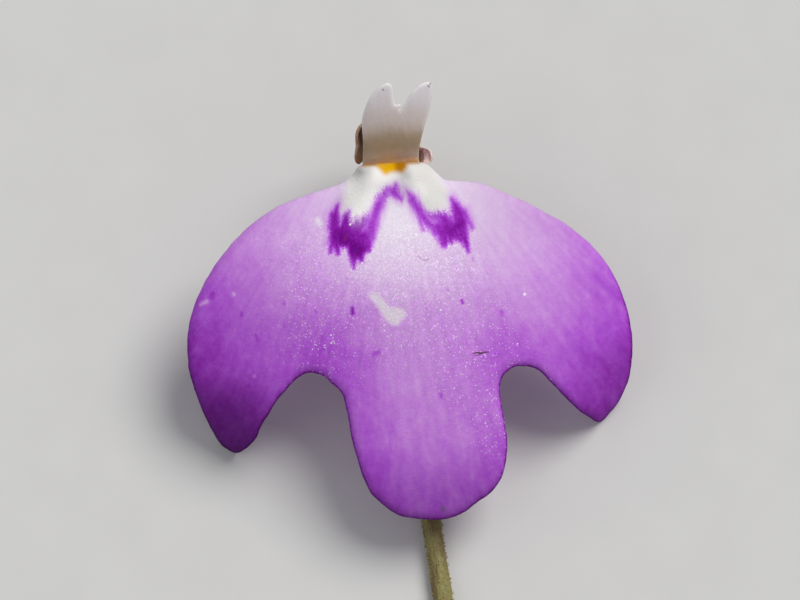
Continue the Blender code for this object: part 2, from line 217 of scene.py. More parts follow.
def fill_outline(rim, spacing, margin_rows, fine_spot=None):
    """Corners and triangles that fill an outline, with rows of corners along its edge.

    fine_spot is (left, low, right, high, spacing) of a part that needs finer corners.
    """
    ahead = np.roll(rim, -1, axis=0) - np.roll(rim, 1, axis=0)
    ahead /= np.linalg.norm(ahead, axis=1)[:, None]
    inward = np.column_stack([-ahead[:, 1], ahead[:, 0]])
    if to_outline(rim + 0.01 * inward, rim).sum() < 0:
        inward = -inward
    corners = [rim]
    for row, depth in enumerate(margin_rows):
        line = (rim + depth * inward)[::1 + row // 2]
        corners.append(line[to_outline(line, rim) > 0.93 * depth])
    grid = lattice(rim, spacing)
    if fine_spot:
        low, high, fine = np.array(fine_spot[:2]), np.array(fine_spot[2:4]), fine_spot[4]
        grid = grid[((grid < low) | (grid > high)).any(axis=1)]
        dense = lattice(np.array([low + fine / 2, high - fine / 2]), fine)
        corners.append(dense[to_outline(dense, rim) > margin_rows[-1] + 0.5 * fine])
    corners.append(grid[to_outline(grid, rim) > margin_rows[-1] + 0.5 * spacing])
    flat = [Vector(p) for p in np.concatenate(corners)]
    edge = list(range(len(rim)))
    filled, _, triangles, _, _, _ = delaunay_2d_cdt(flat, [], [edge], 1, 1e-7)
    return np.array([tuple(p) for p in filled]), [tuple(t) for t in triangles]


# %% Give a filled outline its face and its back
def petal(rim, spacing, margin_rows, place, fine_spot=None):
    """A closed petal. place(x, y, depth, side) puts a flat corner on its face or back."""
    flat, triangles = fill_outline(rim, spacing, margin_rows, fine_spot)
    depth = np.maximum(to_outline(flat, rim), 0)
    used = {}
    for triangle in triangles:
        for a, b in zip(triangle, triangle[1:] + triangle[:1]):
            used[(min(a, b), max(a, b))] = used.get((min(a, b), max(a, b)), 0) + 1
    on_edge = {corner for edge, times in used.items() if times == 1 for corner in edge}
    depth[list(on_edge)] = 0
    inner = [i for i in range(len(flat)) if i not in on_edge]
    face = place(flat[:, 0], flat[:, 1], depth, 1)
    back = place(flat[:, 0], flat[:, 1], depth, -1)[inner]
    partner = {i: i for i in on_edge}
    partner.update({i: len(flat) + k for k, i in enumerate(inner)})
    behind = [tuple(partner[i] for i in reversed(t)) for t in triangles]
    return np.concatenate([face, back]), triangles + behind, np.concatenate([depth, depth[inner]])


def margin_profile(depth, reach):
    """From 0 at the edge to 1, as the quarter of a circle, for the thickness near an edge."""
    part = np.clip(depth / reach, 0, 1)
    return np.sqrt(1 - (1 - part) ** 2)


# %% [markdown]
# ## How a piece joins the flower
#
# Every fine piece stands for the plain solid that it replaces and rides on the flower's one
# body. The helper below turns corners in millimetres into an object in metres, tilts the
# pieces of the bloom into their lying place, and keeps how far each corner of a petal lies
# from its edge, because the colour is darker along the margin.

# %% Add a piece
def add_piece(name, corners, faces, stands_for, finish_slot, in_bloom=True, edge_depth=None):
    """An object made of corners in millimetres, riding on the flower."""
    mesh = bpy.data.meshes.new(name)
    mesh.from_pydata((np.asarray(corners) * MM).tolist(), [], [list(map(int, f)) for f in faces])
    shell = bmesh.new()
    shell.from_mesh(mesh)
    bmesh.ops.recalc_face_normals(shell, faces=shell.faces)
    shell.to_mesh(mesh)
    shell.free()
    mesh.shade_smooth()
    if edge_depth is not None:
        margin = mesh.attributes.new("from_margin", "FLOAT", "POINT")
        margin.data.foreach_set("value", np.asarray(edge_depth, np.float32))
    piece = bpy.data.objects.new(name, mesh)
    bpy.context.scene.collection.objects.link(piece)
    if in_bloom:
        piece.location = (0, BLOOM_Y * MM, BLOOM_HEIGHT * MM)
        piece.rotation_euler = (TILT, 0, 0)
    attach(piece, "root")
    if stands_for:
        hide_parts(*stands_for)
    print(f"{name}: {len(mesh.vertices)} corners, {len(mesh.polygons)} faces")
    return piece


# %% [markdown]
# ## The lower lip
#
# On the real flower this is the landing place: a thin velvety petal whose top is blown up
# into a two-humped palate that shuts the throat. Faint veins run down it from the throat and
# spread like a fan, the surface between them is a little wavy, and the margin rolls back.
# All of that is real relief here and not only bump, because it shows at the petal's edge.

# %% The palate
PALATE_RISE = 0.48
PALATE_HUMP_X = 0.58
PALATE_HUMP_Y = -0.30
PALATE_SPREAD_X = 0.62
PALATE_SPREAD_Y = 0.80
PALATE_STROKES = [          # the blown-up part as strokes of (x, y, radius) to (x, y, radius)
    (-0.95, -0.42, 0.52, -1.26, -1.38, 0.46), (0.90, -0.42, 0.52, 1.30, -1.22, 0.44),
    (-0.60, -0.20, 0.40, 0.60, -0.20, 0.40),
]
PUFF = 0.15                 # how far it is blown up over the rest
PUFF_SOFTNESS = 0.14


def inside_strokes(x, y, strokes):
    """How far a place lies inside several tapered strokes, blended softly where they meet."""
    blended = np.zeros(len(x))
    for x1, y1, r1, x2, y2, r2 in strokes:
        run_x, run_y = x2 - x1, y2 - y1
        part = np.clip(((x - x1) * run_x + (y - y1) * run_y) / (run_x ** 2 + run_y ** 2), 0, 1)
        away = np.hypot(x - x1 - part * run_x, y - y1 - part * run_y)
        blended += np.exp(-8 * (away - r1 - part * (r2 - r1)))
    return np.log(blended) / 8


def palate(x, y):
    """Height of the two-humped palate over the lip."""
    along = np.exp(-((y - PALATE_HUMP_Y) / PALATE_SPREAD_Y) ** 2)
    humps = sum(np.exp(-((x - side * PALATE_HUMP_X) / PALATE_SPREAD_X) ** 2) for side in (-1, 1))
    puffed = PUFF / (1 + np.exp(-inside_strokes(x, y, PALATE_STROKES) / PUFF_SOFTNESS))
    return PALATE_RISE * along * humps + puffed


# %% Veins and waves of the lower lip
FAN_Y = 3.0                 # the veins spread from here, above the throat
VEIN_ANGLE = 0.052          # between neighbouring veins, in radians
VEIN_HEIGHT = 0.008
WAVE_HEIGHT = 0.035


def lip_relief(x, y):
    """Fine height of the veins and of the slow waves between them."""
    relief = np.empty(len(x))
    for i, (px, py) in enumerate(zip(x, y)):
        angle = atan2(px, FAN_Y - py)
        along = noise.noise(Vector((angle * 5, py * 0.25, 3.0)))
        vein = cos(2 * pi * angle / VEIN_ANGLE + 2.5 * along)
        wave = noise.noise(Vector((px * 0.45, py * 0.30, 7.0)))
        fade = min(max((-py - 1.2) / 2.0, 0), 1)
        relief[i] = fade * (VEIN_HEIGHT * vein * (0.6 + 0.8 * along) + WAVE_HEIGHT * wave)
    return relief


# %% Place the corners of the lower lip
LIP_THICKNESS = 0.28
LIP_MARGIN = 0.30           # how far from the edge the petal starts to thin
LIP_ROLL = 0.07             # how far the margin rolls back
LIP_ROLL_REACH = 0.28


def place_lower_lip(x, y, depth, side):
    half = LIP_THICKNESS / 2
    face = lip_sheet(x, y) + palate(x, y) + lip_relief(x, y)
    roll = LIP_ROLL * (1 - np.minimum(depth / LIP_ROLL_REACH, 1)) ** 2
    thick = half * margin_profile(depth, LIP_MARGIN) * steepness(x, y)
    under = palate(x, y) if side < 0 else 0
    w = face - half - roll + side * thick - under
    return np.column_stack([x, y, np.maximum(w, ground(y) + 0.004 * (1 + side))])


# %% Crimp the edge and make the lower lip
LIP_SPACING = 0.10
RIM_SPACING = 0.07
CRIMP = 0.014


def crimped(rim, amount):
    """An outline whose edge wanders in and out a little, as a grown margin does."""
    ahead = np.roll(rim, -1, axis=0) - np.roll(rim, 1, axis=0)
    ahead /= np.linalg.norm(ahead, axis=1)[:, None]
    wander = [noise.noise(Vector((p[0] * 1.6, p[1] * 1.6, 1.0))) * 1.4
              + noise.noise(Vector((p[0] * 4.5, p[1] * 4.5, 2.0))) for p in rim]
    return rim + amount * np.array(wander)[:, None] * np.column_stack([ahead[:, 1], -ahead[:, 0]])


lip_rim = crimped(evenly(smooth_curve(LIP_OUTLINE, closed=True), RIM_SPACING), CRIMP)
PALATE_SPOT = (-2.3, -2.3, 2.3, 0.5, 0.065)
lip_mesh = petal(lip_rim, LIP_SPACING, (0.025, 0.075, 0.15), place_lower_lip, PALATE_SPOT)
lower_lip = add_piece("lower_lip_petal", lip_mesh[0], lip_mesh[1], ["lower_lip"], "petal_purple",
                      edge_depth=lip_mesh[2])

# %% [markdown]
# ## The upper lip
#
# The upper lip is a small white petal that stands over the mouth, split into two ears with a
# tiny tooth in the notch. Below, it folds back under itself into the roof of the tube, and
# that fold rests on the palate and shuts the mouth. It is made as one petal that is drawn
# flat as it faces the eye: over the fold line its height is a curve of Y, and under the fold
# line the drawing runs on along the roof of the tube, out of sight.

# %% Outline of the upper lip as (X, Y); below the fold, Y is the way back along the roof
UPPER_LIP_OUTLINE = [
    (-0.72, -1.10), (0.0, -1.10), (0.72, -1.10), (0.80, -0.45), (0.88, 0.06), (0.98, 0.55),
    (1.17, 1.07), (1.35, 1.50), (1.50, 1.90), (1.56, 2.21), (1.55, 2.42), (1.47, 2.49),
    (1.36, 2.49), (1.14, 2.42),
    (0.90, 2.23), (0.62, 1.89), (0.47, 1.71), (0.52, 1.86), (0.48, 1.90), (0.40, 1.88), (0.33, 1.92),
    (0.31, 2.10), (0.31, 2.40), (0.26, 2.54), (0.11, 2.59), (-0.17, 2.47), (-0.42, 2.22),
    (-0.60, 1.93), (-0.77, 1.50), (-0.80, 0.92), (-0.85, 0.45), (-0.88, 0.06), (-0.80, -0.40),
]

# %% The fold and the slope of the upper lip
UPPER_LIP_PATH = [          # (drawn Y, real Y, W)
    (-1.10, 1.00, -2.44), (-0.78, 0.72, -2.28), (-0.42, 0.38, -2.12), (-0.20, 0.17, -2.00),
    (-0.07, 0.06, -1.88), (0.04, 0.03, -1.76), (0.18, 0.15, -1.60), (0.36, 0.36, -1.37),
    (0.70, 0.70, -1.05), (1.20, 1.20, -0.72), (1.70, 1.70, -0.40), (2.20, 2.20, -0.14),
    (2.65, 2.65, 0.05),
]
UPPER_LIP_THICKNESS = 0.16
UPPER_LIP_MARGIN = 0.16
UPPER_LIP_CURL = 0.10
upper_lip_path = smooth_curve(UPPER_LIP_PATH)


def place_upper_lip(x, drawn_y, depth, side):
    y = np.interp(drawn_y, upper_lip_path[:, 0], upper_lip_path[:, 1])
    w = np.interp(drawn_y, upper_lip_path[:, 0], upper_lip_path[:, 2])
    flutes = [0.012 * noise.noise(Vector((px * 5.0, py * 0.9, 5.0))) for px, py in zip(x, drawn_y)]
    w = w - UPPER_LIP_CURL * x ** 2 + np.array(flutes)
    w = w + side * UPPER_LIP_THICKNESS / 2 * margin_profile(depth, UPPER_LIP_MARGIN)
    return np.column_stack([x, y, w])


# %% Make the upper lip
UPPER_LIP_SPACING = 0.05
upper_rim = evenly(smooth_curve(UPPER_LIP_OUTLINE, closed=True), UPPER_LIP_SPACING)
upper_mesh = petal(upper_rim, UPPER_LIP_SPACING, (0.015, 0.045, 0.09), place_upper_lip)
upper_lip = add_piece("upper_lip_petal", upper_mesh[0], upper_mesh[1], ["upper_lip"], "petal_white",
                      edge_depth=upper_mesh[2])

# %% [markdown]
# ## Round pieces
#
# The tube, the spur, the pistil, the stamens and the stalk are all round pieces whose section
# changes along the way. Each is drawn as a few rings, a smooth curve is run through the
# rings' sizes, and the rings are joined by a sleeve of faces. A lathe would not do, because
# the spur bends and its section is not round.

# %% Rings and sleeves
def sleeve(rings):
    """Corners and faces of a closed body through rings with equal numbers of points."""
    sides = len(rings[0])
    faces = []
    for i in range(len(rings) - 1):
        for k in range(sides):
            n = (k + 1) % sides
            faces.append((i * sides + k, i * sides + n, (i + 1) * sides + n, (i + 1) * sides + k))
    faces.append(tuple(range(sides)))
    faces.append(tuple(range((len(rings) - 1) * sides, len(rings) * sides)))
    return np.concatenate(rings), faces


def ellipse(centre, across, upright, sides):
    """Points of an ellipse round a centre, with the two half axes given."""
    turn = 2 * pi * (np.arange(sides) + 0.5) / sides
    return centre + np.outer(np.sin(turn), across) - np.outer(np.cos(turn), upright)


# %% [markdown]
# ## The tube and the spur
#
# Behind the mouth the petals join into a short tube, and its floor runs down into a slender
# spur that lies behind the lower lip. The mouth of the tube is open and shows the throat.
# Its front edge leans forward until it meets the back of the lower lip, as both grow from
# the same ring of tissue. Each ring of it is drawn by its front and back point and its half
# width, which is how one would measure it from the side.

# %% Rings of the tube and spur: front (Y, W), back (Y, W) and half width
SPUR_RINGS = [
    (-0.95, -1.74, 1.06, -2.22, 0.90),
    (-0.72, -2.05, 1.08, -2.40, 0.84),
    (-0.64, -2.40, 1.09, -2.62, 0.84),
    (-0.62, -2.68, 1.08, -2.86, 0.86),
    (-0.65, -2.78, 1.00, -3.18, 0.88),
    (-0.70, -2.81, 0.68, -3.55, 0.87),
    (-0.78, -2.82, 0.10, -3.75, 0.81),
    (-0.90, -2.79, -0.62, -3.70, 0.73),
    (-1.15, -2.70, -1.20, -3.48, 0.62),
    (-2.00, -2.42, -2.15, -3.06, 0.42),
    (-3.20, -2.12, -3.35, -2.58, 0.28),
    (-4.60, -1.86, -4.70, -2.18, 0.20),
    (-5.80, -1.72, -5.85, -1.94, 0.12),
    (-6.26, -1.73, -6.28, -1.85, 0.07),
    (-6.33, -1.76, -6.34, -1.81, 0.02),
]
THROAT_RINGS = [
    (-0.84, -1.78, 0.98, -2.24, 0.80),
    (-0.45, -2.15, 0.90, -2.40, 0.68),
    (-0.30, -2.65, 0.78, -2.72, 0.64),
    (-0.30, -3.00, 0.70, -3.12, 0.62),
    (-0.20, -3.22, 0.45, -3.36, 0.44),
    (0.02, -3.34, 0.22, -3.40, 0.14),
    (0.11, -3.37, 0.13, -3.38, 0.02),
]
SPUR_SIDES = 48
SPUR_RIB = 0.012            # height of the faint ribs along the spur


def spur_ring(front_y, front_w, back_y, back_w, half_width):
    front = np.array((0, front_y, front_w))
    back = np.array((0, back_y, back_w))
    points = ellipse((front + back) / 2, (half_width, 0, 0), (front - back) / 2, SPUR_SIDES)
    ribs = 1 + SPUR_RIB * np.cos(8 * 2 * pi * np.arange(SPUR_SIDES) / SPUR_SIDES)
    return points.mean(axis=0) + (points - points.mean(axis=0)) * ribs[:, None]


# %% Make the tube and spur
outside = smooth_curve(SPUR_RINGS[::-1], 6)
inside = smooth_curve(THROAT_RINGS, 6)
spur_mesh = sleeve([spur_ring(*ring) for ring in np.concatenate([outside, inside])])
spur = add_piece("tube_and_spur", *spur_mesh, ["spur"], "spur_mauve")

# %% [markdown]
# ## The calyx
#
# The calyx is what closed the bud: a broad upper lobe that wraps over the tube, and a smaller
# lower lobe that cups the spur. Both are thin, brown and a little wrinkled. In the photo only
# the left edge of the upper lobe and the curled right corner of it show beside the upper
# lip, so the lobe stands off on the left and hugs the tube on the right.

# %% The upper lobe: its outline as (way round the tube, way forward) and its side view
CALYX_AXIS_Y = 0.25
CALYX_RADIUS = 1.42
CALYX_UPPER_OUTLINE = [
    (-1.7, 0.0), (0.0, 0.0), (1.7, 0.0), (2.05, 0.5), (2.40, 1.2), (2.66, 1.75), (2.66, 2.25),
    (2.35, 2.50), (1.75, 2.45), (0.75, 2.65), (0.0, 2.75), (-0.75, 2.65), (-1.45, 2.45), (-2.1, 2.1),
    (-2.3, 1.3), (-2.05, 0.5),
]
CALYX_UPPER_PROFILE = [     # (distance from the tube's axis, W)
    (0.30, -4.30), (0.85, -4.22), (1.22, -3.85), (1.38, -3.2), (1.40, -2.6), (1.38, -2.15),
]
CALYX_THICKNESS = 0.10
CALYX_CURL = 0.30           # how far the right corner curls outward
calyx_profile = smooth_curve(CALYX_UPPER_PROFILE)


def calyx_reach(angle):
    """How far the lobe stands off, from its left side (less than zero) to its right."""
    left_hug = 0.235 / (1 + np.exp((angle + 0.90) / 0.10))
    right_hug = 0.34 / (1 + np.exp(-(angle - 0.55) / 0.12))
    return 1.02 - left_hug - right_hug


def wrinkles(x, y, height, size):
    """A soft crumpled relief."""
    crumple = [noise.noise(Vector((a * size, b * size * 0.5, 4.0))) for a, b in zip(x, y)]
    return height * np.array(crumple)


def place_calyx_upper(round_axis, way, depth, side):
    radius, w = at_way(calyx_profile, way).T
    angle = round_axis / CALYX_RADIUS
    radius = radius * (1 + (calyx_reach(angle) - 1) * np.clip(way / 1.2, 0, 1))
    curl = CALYX_CURL * np.exp(-((angle - 1.60) / 0.25) ** 4) * np.clip((way - 1.5) / 0.8, 0, 1.1) ** 2
    radius = radius + curl
    w = w - 1.1 * curl
    thick = CALYX_THICKNESS / 2 * margin_profile(depth, 0.15)
    radius = radius + side * thick + wrinkles(round_axis, way, 0.022, 2.2)
    return np.column_stack([radius * np.sin(angle), CALYX_AXIS_Y + radius * np.cos(angle), w])


# %% Make the upper calyx lobe
CALYX_SPACING = 0.08
calyx_rim = evenly(smooth_curve(CALYX_UPPER_OUTLINE, closed=True), CALYX_SPACING)
calyx_mesh = petal(calyx_rim, CALYX_SPACING, (0.02, 0.06), place_calyx_upper)
calyx_upper = add_piece("upper_calyx_lobe", calyx_mesh[0], calyx_mesh[1], ["calyx_upper_lobe"],
                        "calyx_brown", edge_depth=calyx_mesh[2])

# %% The lower lobe: its outline as (X, way down) and its side view as (Y, W)
CALYX_LOWER_OUTLINE = [
    (-0.5, 0.0), (0.0, 0.0), (0.5, 0.0), (0.95, 0.35), (1.15, 1.0), (1.1, 1.7), (0.75, 2.4),
    (0.0, 2.85), (-0.75, 2.4), (-1.1, 1.7), (-1.15, 1.0), (-0.95, 0.35),
]
CALYX_LOWER_PATH = [(0.05, -4.30), (-0.60, -4.25), (-1.30, -3.98), (-2.00, -3.62), (-2.75, -3.26)]
CALYX_LOWER_CUP = 0.16
calyx_lower_path = smooth_curve(CALYX_LOWER_PATH)


def place_calyx_lower(x, way, depth, side):
    point = at_way(calyx_lower_path, way)
    ahead = at_way(calyx_lower_path, way + 0.02) - at_way(calyx_lower_path, way - 0.02)
    ahead /= np.linalg.norm(ahead, axis=1)[:, None]
    facing = np.column_stack([ahead[:, 1], -ahead[:, 0]])
    lift = side * CALYX_THICKNESS / 2 * margin_profile(depth, 0.15) + CALYX_LOWER_CUP * x ** 2
    point = point + facing * (lift + wrinkles(x, way, 0.03, 3.0))[:, None]
    return np.column_stack([x, point])


lobe_rim = evenly(smooth_curve(CALYX_LOWER_OUTLINE, closed=True), CALYX_SPACING)
lobe_mesh = petal(lobe_rim, CALYX_SPACING, (0.02, 0.06), place_calyx_lower)
calyx_lower = add_piece("lower_calyx_lobe", lobe_mesh[0], lobe_mesh[1], ["calyx_lower_lobe"],
                        "calyx_brown", edge_depth=lobe_mesh[2])

# %% [markdown]
# ## Pistil and stamens
#
# Inside the tube sit a round ovary with a short style and stigma, and two curved stamens
# whose anthers meet under the stigma. They are hidden in the photo and small, so they are
# plain round pieces, drawn by the radius at a few points of the way.

# %% Round rods along a way
def rod(stations, sides, steps=4):
    """Rings square to a smooth way through stations of (x, y, z, radius)."""
    path = smooth_curve(stations, steps)
    ahead = np.gradient(path[:, :3], axis=0)
    ahead /= np.linalg.norm(ahead, axis=1)[:, None]
    guide = np.array((0.0, 1.0, 0.0)) if abs(ahead[0][1]) < 0.7 else np.array((0.0, 0.0, 1.0))
    rings = []
    for point, along in zip(path, ahead):
        across = np.cross(along, guide)
        across /= np.linalg.norm(across)
        guide = np.cross(across, along)
        rings.append(ellipse(point[:3], across * point[3], guide * point[3], sides))
    return rings


# %% Make the pistil and the stamens
PISTIL = [
    (0, 0.20, -3.26, 0.03), (0, 0.20, -3.18, 0.20), (0, 0.20, -3.02, 0.27), (0, 0.20, -2.87, 0.22),
    (0, 0.21, -2.76, 0.10), (0, 0.24, -2.64, 0.07), (0, 0.27, -2.56, 0.09), (0, 0.28, -2.50, 0.14),
    (0, 0.28, -2.46, 0.12), (0, 0.28, -2.45, 0.03),
]
STAMEN = [
    (0.46, 0.22, -3.00, 0.03), (0.47, 0.21, -2.90, 0.06), (0.45, 0.17, -2.77, 0.06),
    (0.39, 0.11, -2.66, 0.07), (0.31, 0.07, -2.61, 0.12), (0.23, 0.05, -2.60, 0.12),
    (0.17, 0.05, -2.60, 0.04),
]
pistil = add_piece("ovary_and_stigma", *sleeve(rod(PISTIL, 20)), ["pistil"], "ovary_green")
stamens = []
for side_name, hand in (("left", -1), ("right", 1)):
    stations = [(hand * x, y, w, radius) for x, y, w, radius in STAMEN]
    stamens.append(add_piece("curved_stamen_" + side_name, *sleeve(rod(stations, 16)),
                             ["stamen_" + side_name], "anther_yellow"))

# %% [markdown]
# ## The stalk
#
# The bloom hangs on a thin pedicel that bends down to the surface and runs to the main stem,
# the scape, which was cut. Both lie along the surface. The stalk of this kind is rough with
# papillae, tiny blunt pegs of one cell each. They are too small for the solids, so they are
# pressed into the stalk here, with their places drawn by a seeded dice.

# %% Way of the pedicel and of the scape, in the frame that the flower lies in
RECEPTACLE_Y = 0.15
RECEPTACLE_W = -4.64
RECEPTACLE_RADIUS = 0.40
PEDICEL_RADIUS = 0.26
SCAPE_RADIUS = 0.30
NODE_Y = -2.7
CUT_Y = -12.5
JOINT_GAP = 0.15
STALK_SIDES = 24


def laid(y, w):
    """Where a point of the bloom's middle plane comes to lie, as (Y, Z)."""
    return BLOOM_Y + y * cos(TILT) - w * sin(TILT), BLOOM_HEIGHT + y * sin(TILT) + w * cos(TILT)


def pedicel_way():
    """Stations of the pedicel from under the calyx to the scape."""
    top_y, top_z = laid(RECEPTACLE_Y, RECEPTACLE_W + 0.30)
    low = PEDICEL_RADIUS
    bend = [
        (top_y, top_z, 0.30), (top_y + 0.05, top_z - 0.22, RECEPTACLE_RADIUS),
        (top_y + 0.12, top_z - 0.50, 0.33), (top_y + 0.06, 0.95, 0.27), (top_y - 0.18, 0.56, 0.255),
        (top_y - 0.60, 0.34, 0.25), (top_y - 1.2, low, PEDICEL_RADIUS), (top_y - 2.2, low, 0.25),
        (top_y - 4.2, low, 0.245), (NODE_Y + 2.0, low, 0.25), (NODE_Y, low, 0.29),
    ]
    return [(0.0, y, max(z, low), radius) for y, z, radius in bend]


def scape_way():
    """Stations of the scape from the node to its cut end."""
    start = NODE_Y - JOINT_GAP + 0.12
    ways = np.linspace(start, CUT_Y, 16)
    return [(0.12 * (1 - cos((y - start) / 3.0)), y, SCAPE_RADIUS, SCAPE_RADIUS) for y in ways]


def pressed(rings):
    """Rings with what would lie under the surface pressed flat against it."""
    return [np.column_stack([ring[:, 0], ring[:, 1], np.maximum(ring[:, 2], 0.0)]) for ring in rings]


# %% Furrow the stalk and make it
def furrowed(rings, amount, seed):
    """Rings with faint furrows along them and slow swellings."""
    shaped = []
    for i, ring in enumerate(rings):
        middle = ring.mean(axis=0)
        swell = [1 + amount * noise.noise(Vector((k * 0.9, i * 0.12, seed)))
                 for k in range(len(ring) // 2)] * 2
        shaped.append(middle + (ring - middle) * np.array(swell)[:, None])
    return shaped


pedicel_rings = pressed(furrowed(rod(pedicel_way(), STALK_SIDES, 8), 0.10, 1.0))
scape_rings = pressed(furrowed(rod(scape_way(), STALK_SIDES, 8), 0.10, 2.0))
pedicel = add_piece("flower_stalk", *sleeve(pedicel_rings), ["pedicel"], "stalk_olive", in_bloom=False)
scape = add_piece("main_stem", *sleeve(scape_rings), ["scape"], "stalk_olive", in_bloom=False)

# %% [markdown]
# The papillae are little four-sided pegs. One mesh holds them all, since a thousand objects
# would only slow everything down. Each peg stands on a corner of the stalk's rings and leans
# a little at random. None is put where the stalk touches the surface.

# %% Papillae on the stalk
PAPILLA_HEIGHT = 0.055
PAPILLA_RADIUS = 0.020
PAPILLA_SHARE = 0.42        # of the corners that carry one


def papillae(rings, dice):
    """Corners and faces of small pegs that stand on rings."""
    corners, faces = [], []
    for i, ring in enumerate(rings[1:-1], start=1):
        middle = ring.mean(axis=0)
        for k, foot in enumerate(ring):
            chance, lean_a, lean_b, growth, slide = dice.random(5)
            if chance > PAPILLA_SHARE or foot[2] < 0.10:
                continue
            along = rings[i + 1][k] - foot
            foot = foot + along * slide
            along = along / np.linalg.norm(along)
            outward = (foot - middle) / np.linalg.norm(foot - middle)
            around = np.cross(outward, along)
            tip = foot + outward * PAPILLA_HEIGHT * (0.6 + 0.7 * growth)
            tip = tip + (along * (lean_a - 0.5) + around * (lean_b - 0.5)) * 0.03
            base = foot - outward * 0.01
            first = len(corners)
            for a, b in ((1, 0), (0, 1), (-1, 0), (0, -1)):
                corners.append(base + PAPILLA_RADIUS * (along * a + around * b))
            for a, b in ((1, 0), (0, 1), (-1, 0), (0, -1)):
                corners.append(tip + 0.45 * PAPILLA_RADIUS * (along * a + around * b))
            for n in range(4):
                m = (n + 1) % 4
                faces.append((first + n, first + m, first + 4 + m, first + 4 + n))
            faces.append(tuple(first + 4 + n for n in range(4)))
            faces.append(tuple(first + n for n in reversed(range(4))))
    return corners, faces


dice = np.random.default_rng(4)
pedicel_pegs = add_piece("papillae_of_flower_stalk", *papillae(pedicel_rings, dice), [], "stalk_olive",
                         in_bloom=False)
scape_pegs = add_piece("papillae_of_main_stem", *papillae(scape_rings, dice), [], "stalk_olive",
                       in_bloom=False)

# %% [markdown]
# ## Bract and bracteoles
#
# Where the flower stalk leaves the main stem stand three tiny leaves: one bract over the
# node and a narrower bracteole on each side. They are made like petals, the bract with a
# raised midrib, and are thinner than their solids.

# %% Make the bract and the bracteoles
BRACT_OUTLINE = [
    (0.0, 0.0), (0.28, 0.12), (0.4, 0.6), (0.34, 1.15),
    (0.0, 1.9), (-0.34, 1.15), (-0.4, 0.6), (-0.28, 0.12),
]
BRACTEOLE_OUTLINE = [
    (0.0, 0.0), (0.16, 0.1), (0.24, 0.5), (0.2, 0.95),
    (0.0, 1.5), (-0.2, 0.95), (-0.24, 0.5), (-0.16, 0.1),
]
BRACT_SPACING = 0.05
BRACT_THICKNESS = 0.10
BRACT_BACK = 0.35
BRACT_HEIGHT = 2 * SCAPE_RADIUS + JOINT_GAP
BRACTEOLE_HEIGHT = 0.27
BRACTEOLE_AWAY = SCAPE_RADIUS + 0.08


def place_bract(x, way, depth, side):
    thick = BRACT_THICKNESS / 2 * margin_profile(depth, 0.1)
    rib = 0.03 * np.exp(-(x / 0.05) ** 2) * np.minimum(depth / 0.2, 1)
    start = np.exp(-way / 0.3) * 0.14
    z = BRACT_HEIGHT + 0.06 * way ** 2 - 0.25 * x ** 2 + side * thick + rib - start
    return np.column_stack([x, NODE_Y - BRACT_BACK + way, z])


def place_bracteole(hand):
    """A way to place the bracteole on the right (1) or the left (-1) of the stalk."""
    def place(up, way, depth, side):
        thick = BRACT_THICKNESS / 2 * margin_profile(depth, 0.1)
        x = hand * (BRACTEOLE_AWAY + 0.10 * way ** 2 + 0.3 * up ** 2 * 0.5 + side * thick)
        return np.column_stack([x, NODE_Y - BRACT_BACK + way, BRACTEOLE_HEIGHT + up])
    return place


bracts = []
for name, node, outline, place in (
        ("bract_leaf", "bract", BRACT_OUTLINE, place_bract),
        ("bracteole_leaf_left", "bracteole_left", BRACTEOLE_OUTLINE, place_bracteole(-1)),
        ("bracteole_leaf_right", "bracteole_right", BRACTEOLE_OUTLINE, place_bracteole(1))):
    rim = evenly(smooth_curve(outline, closed=True), BRACT_SPACING)
    leaf = petal(rim, BRACT_SPACING, (0.02, 0.05), place)
    bracts.append(add_piece(name, leaf[0], leaf[1], [node], "bract_green", in_bloom=False,
                            edge_depth=leaf[2]))

# %% [markdown]
# ## Writing a finish as sums
#
# A finish is a net of nodes round one Principled shader. Wiring each node by hand hides the
# thought behind it, so a small class wraps a value that varies over the surface and lets it
# be added, multiplied and compared like a number. Every other node comes from one method.

# %% A varying value, and the finish that it belongs to
class Shade:
    """A value that varies over a surface, written like a number in a sum."""

    def __init__(self, finish, socket):
        self.finish = finish
        self.socket = socket

    def __add__(self, other):
        return self.finish.maths("ADD", self, other)

    __radd__ = __add__

    def __sub__(self, other):
        return self.finish.maths("SUBTRACT", self, other)

    def __rsub__(self, other):
        return self.finish.maths("SUBTRACT", other, self)

    def __mul__(self, other):
        return self.finish.maths("MULTIPLY", self, other)

    __rmul__ = __mul__

    def __truediv__(self, other):
        return self.finish.maths("DIVIDE", self, other)

    def __rtruediv__(self, other):
        return self.finish.maths("DIVIDE", other, self)


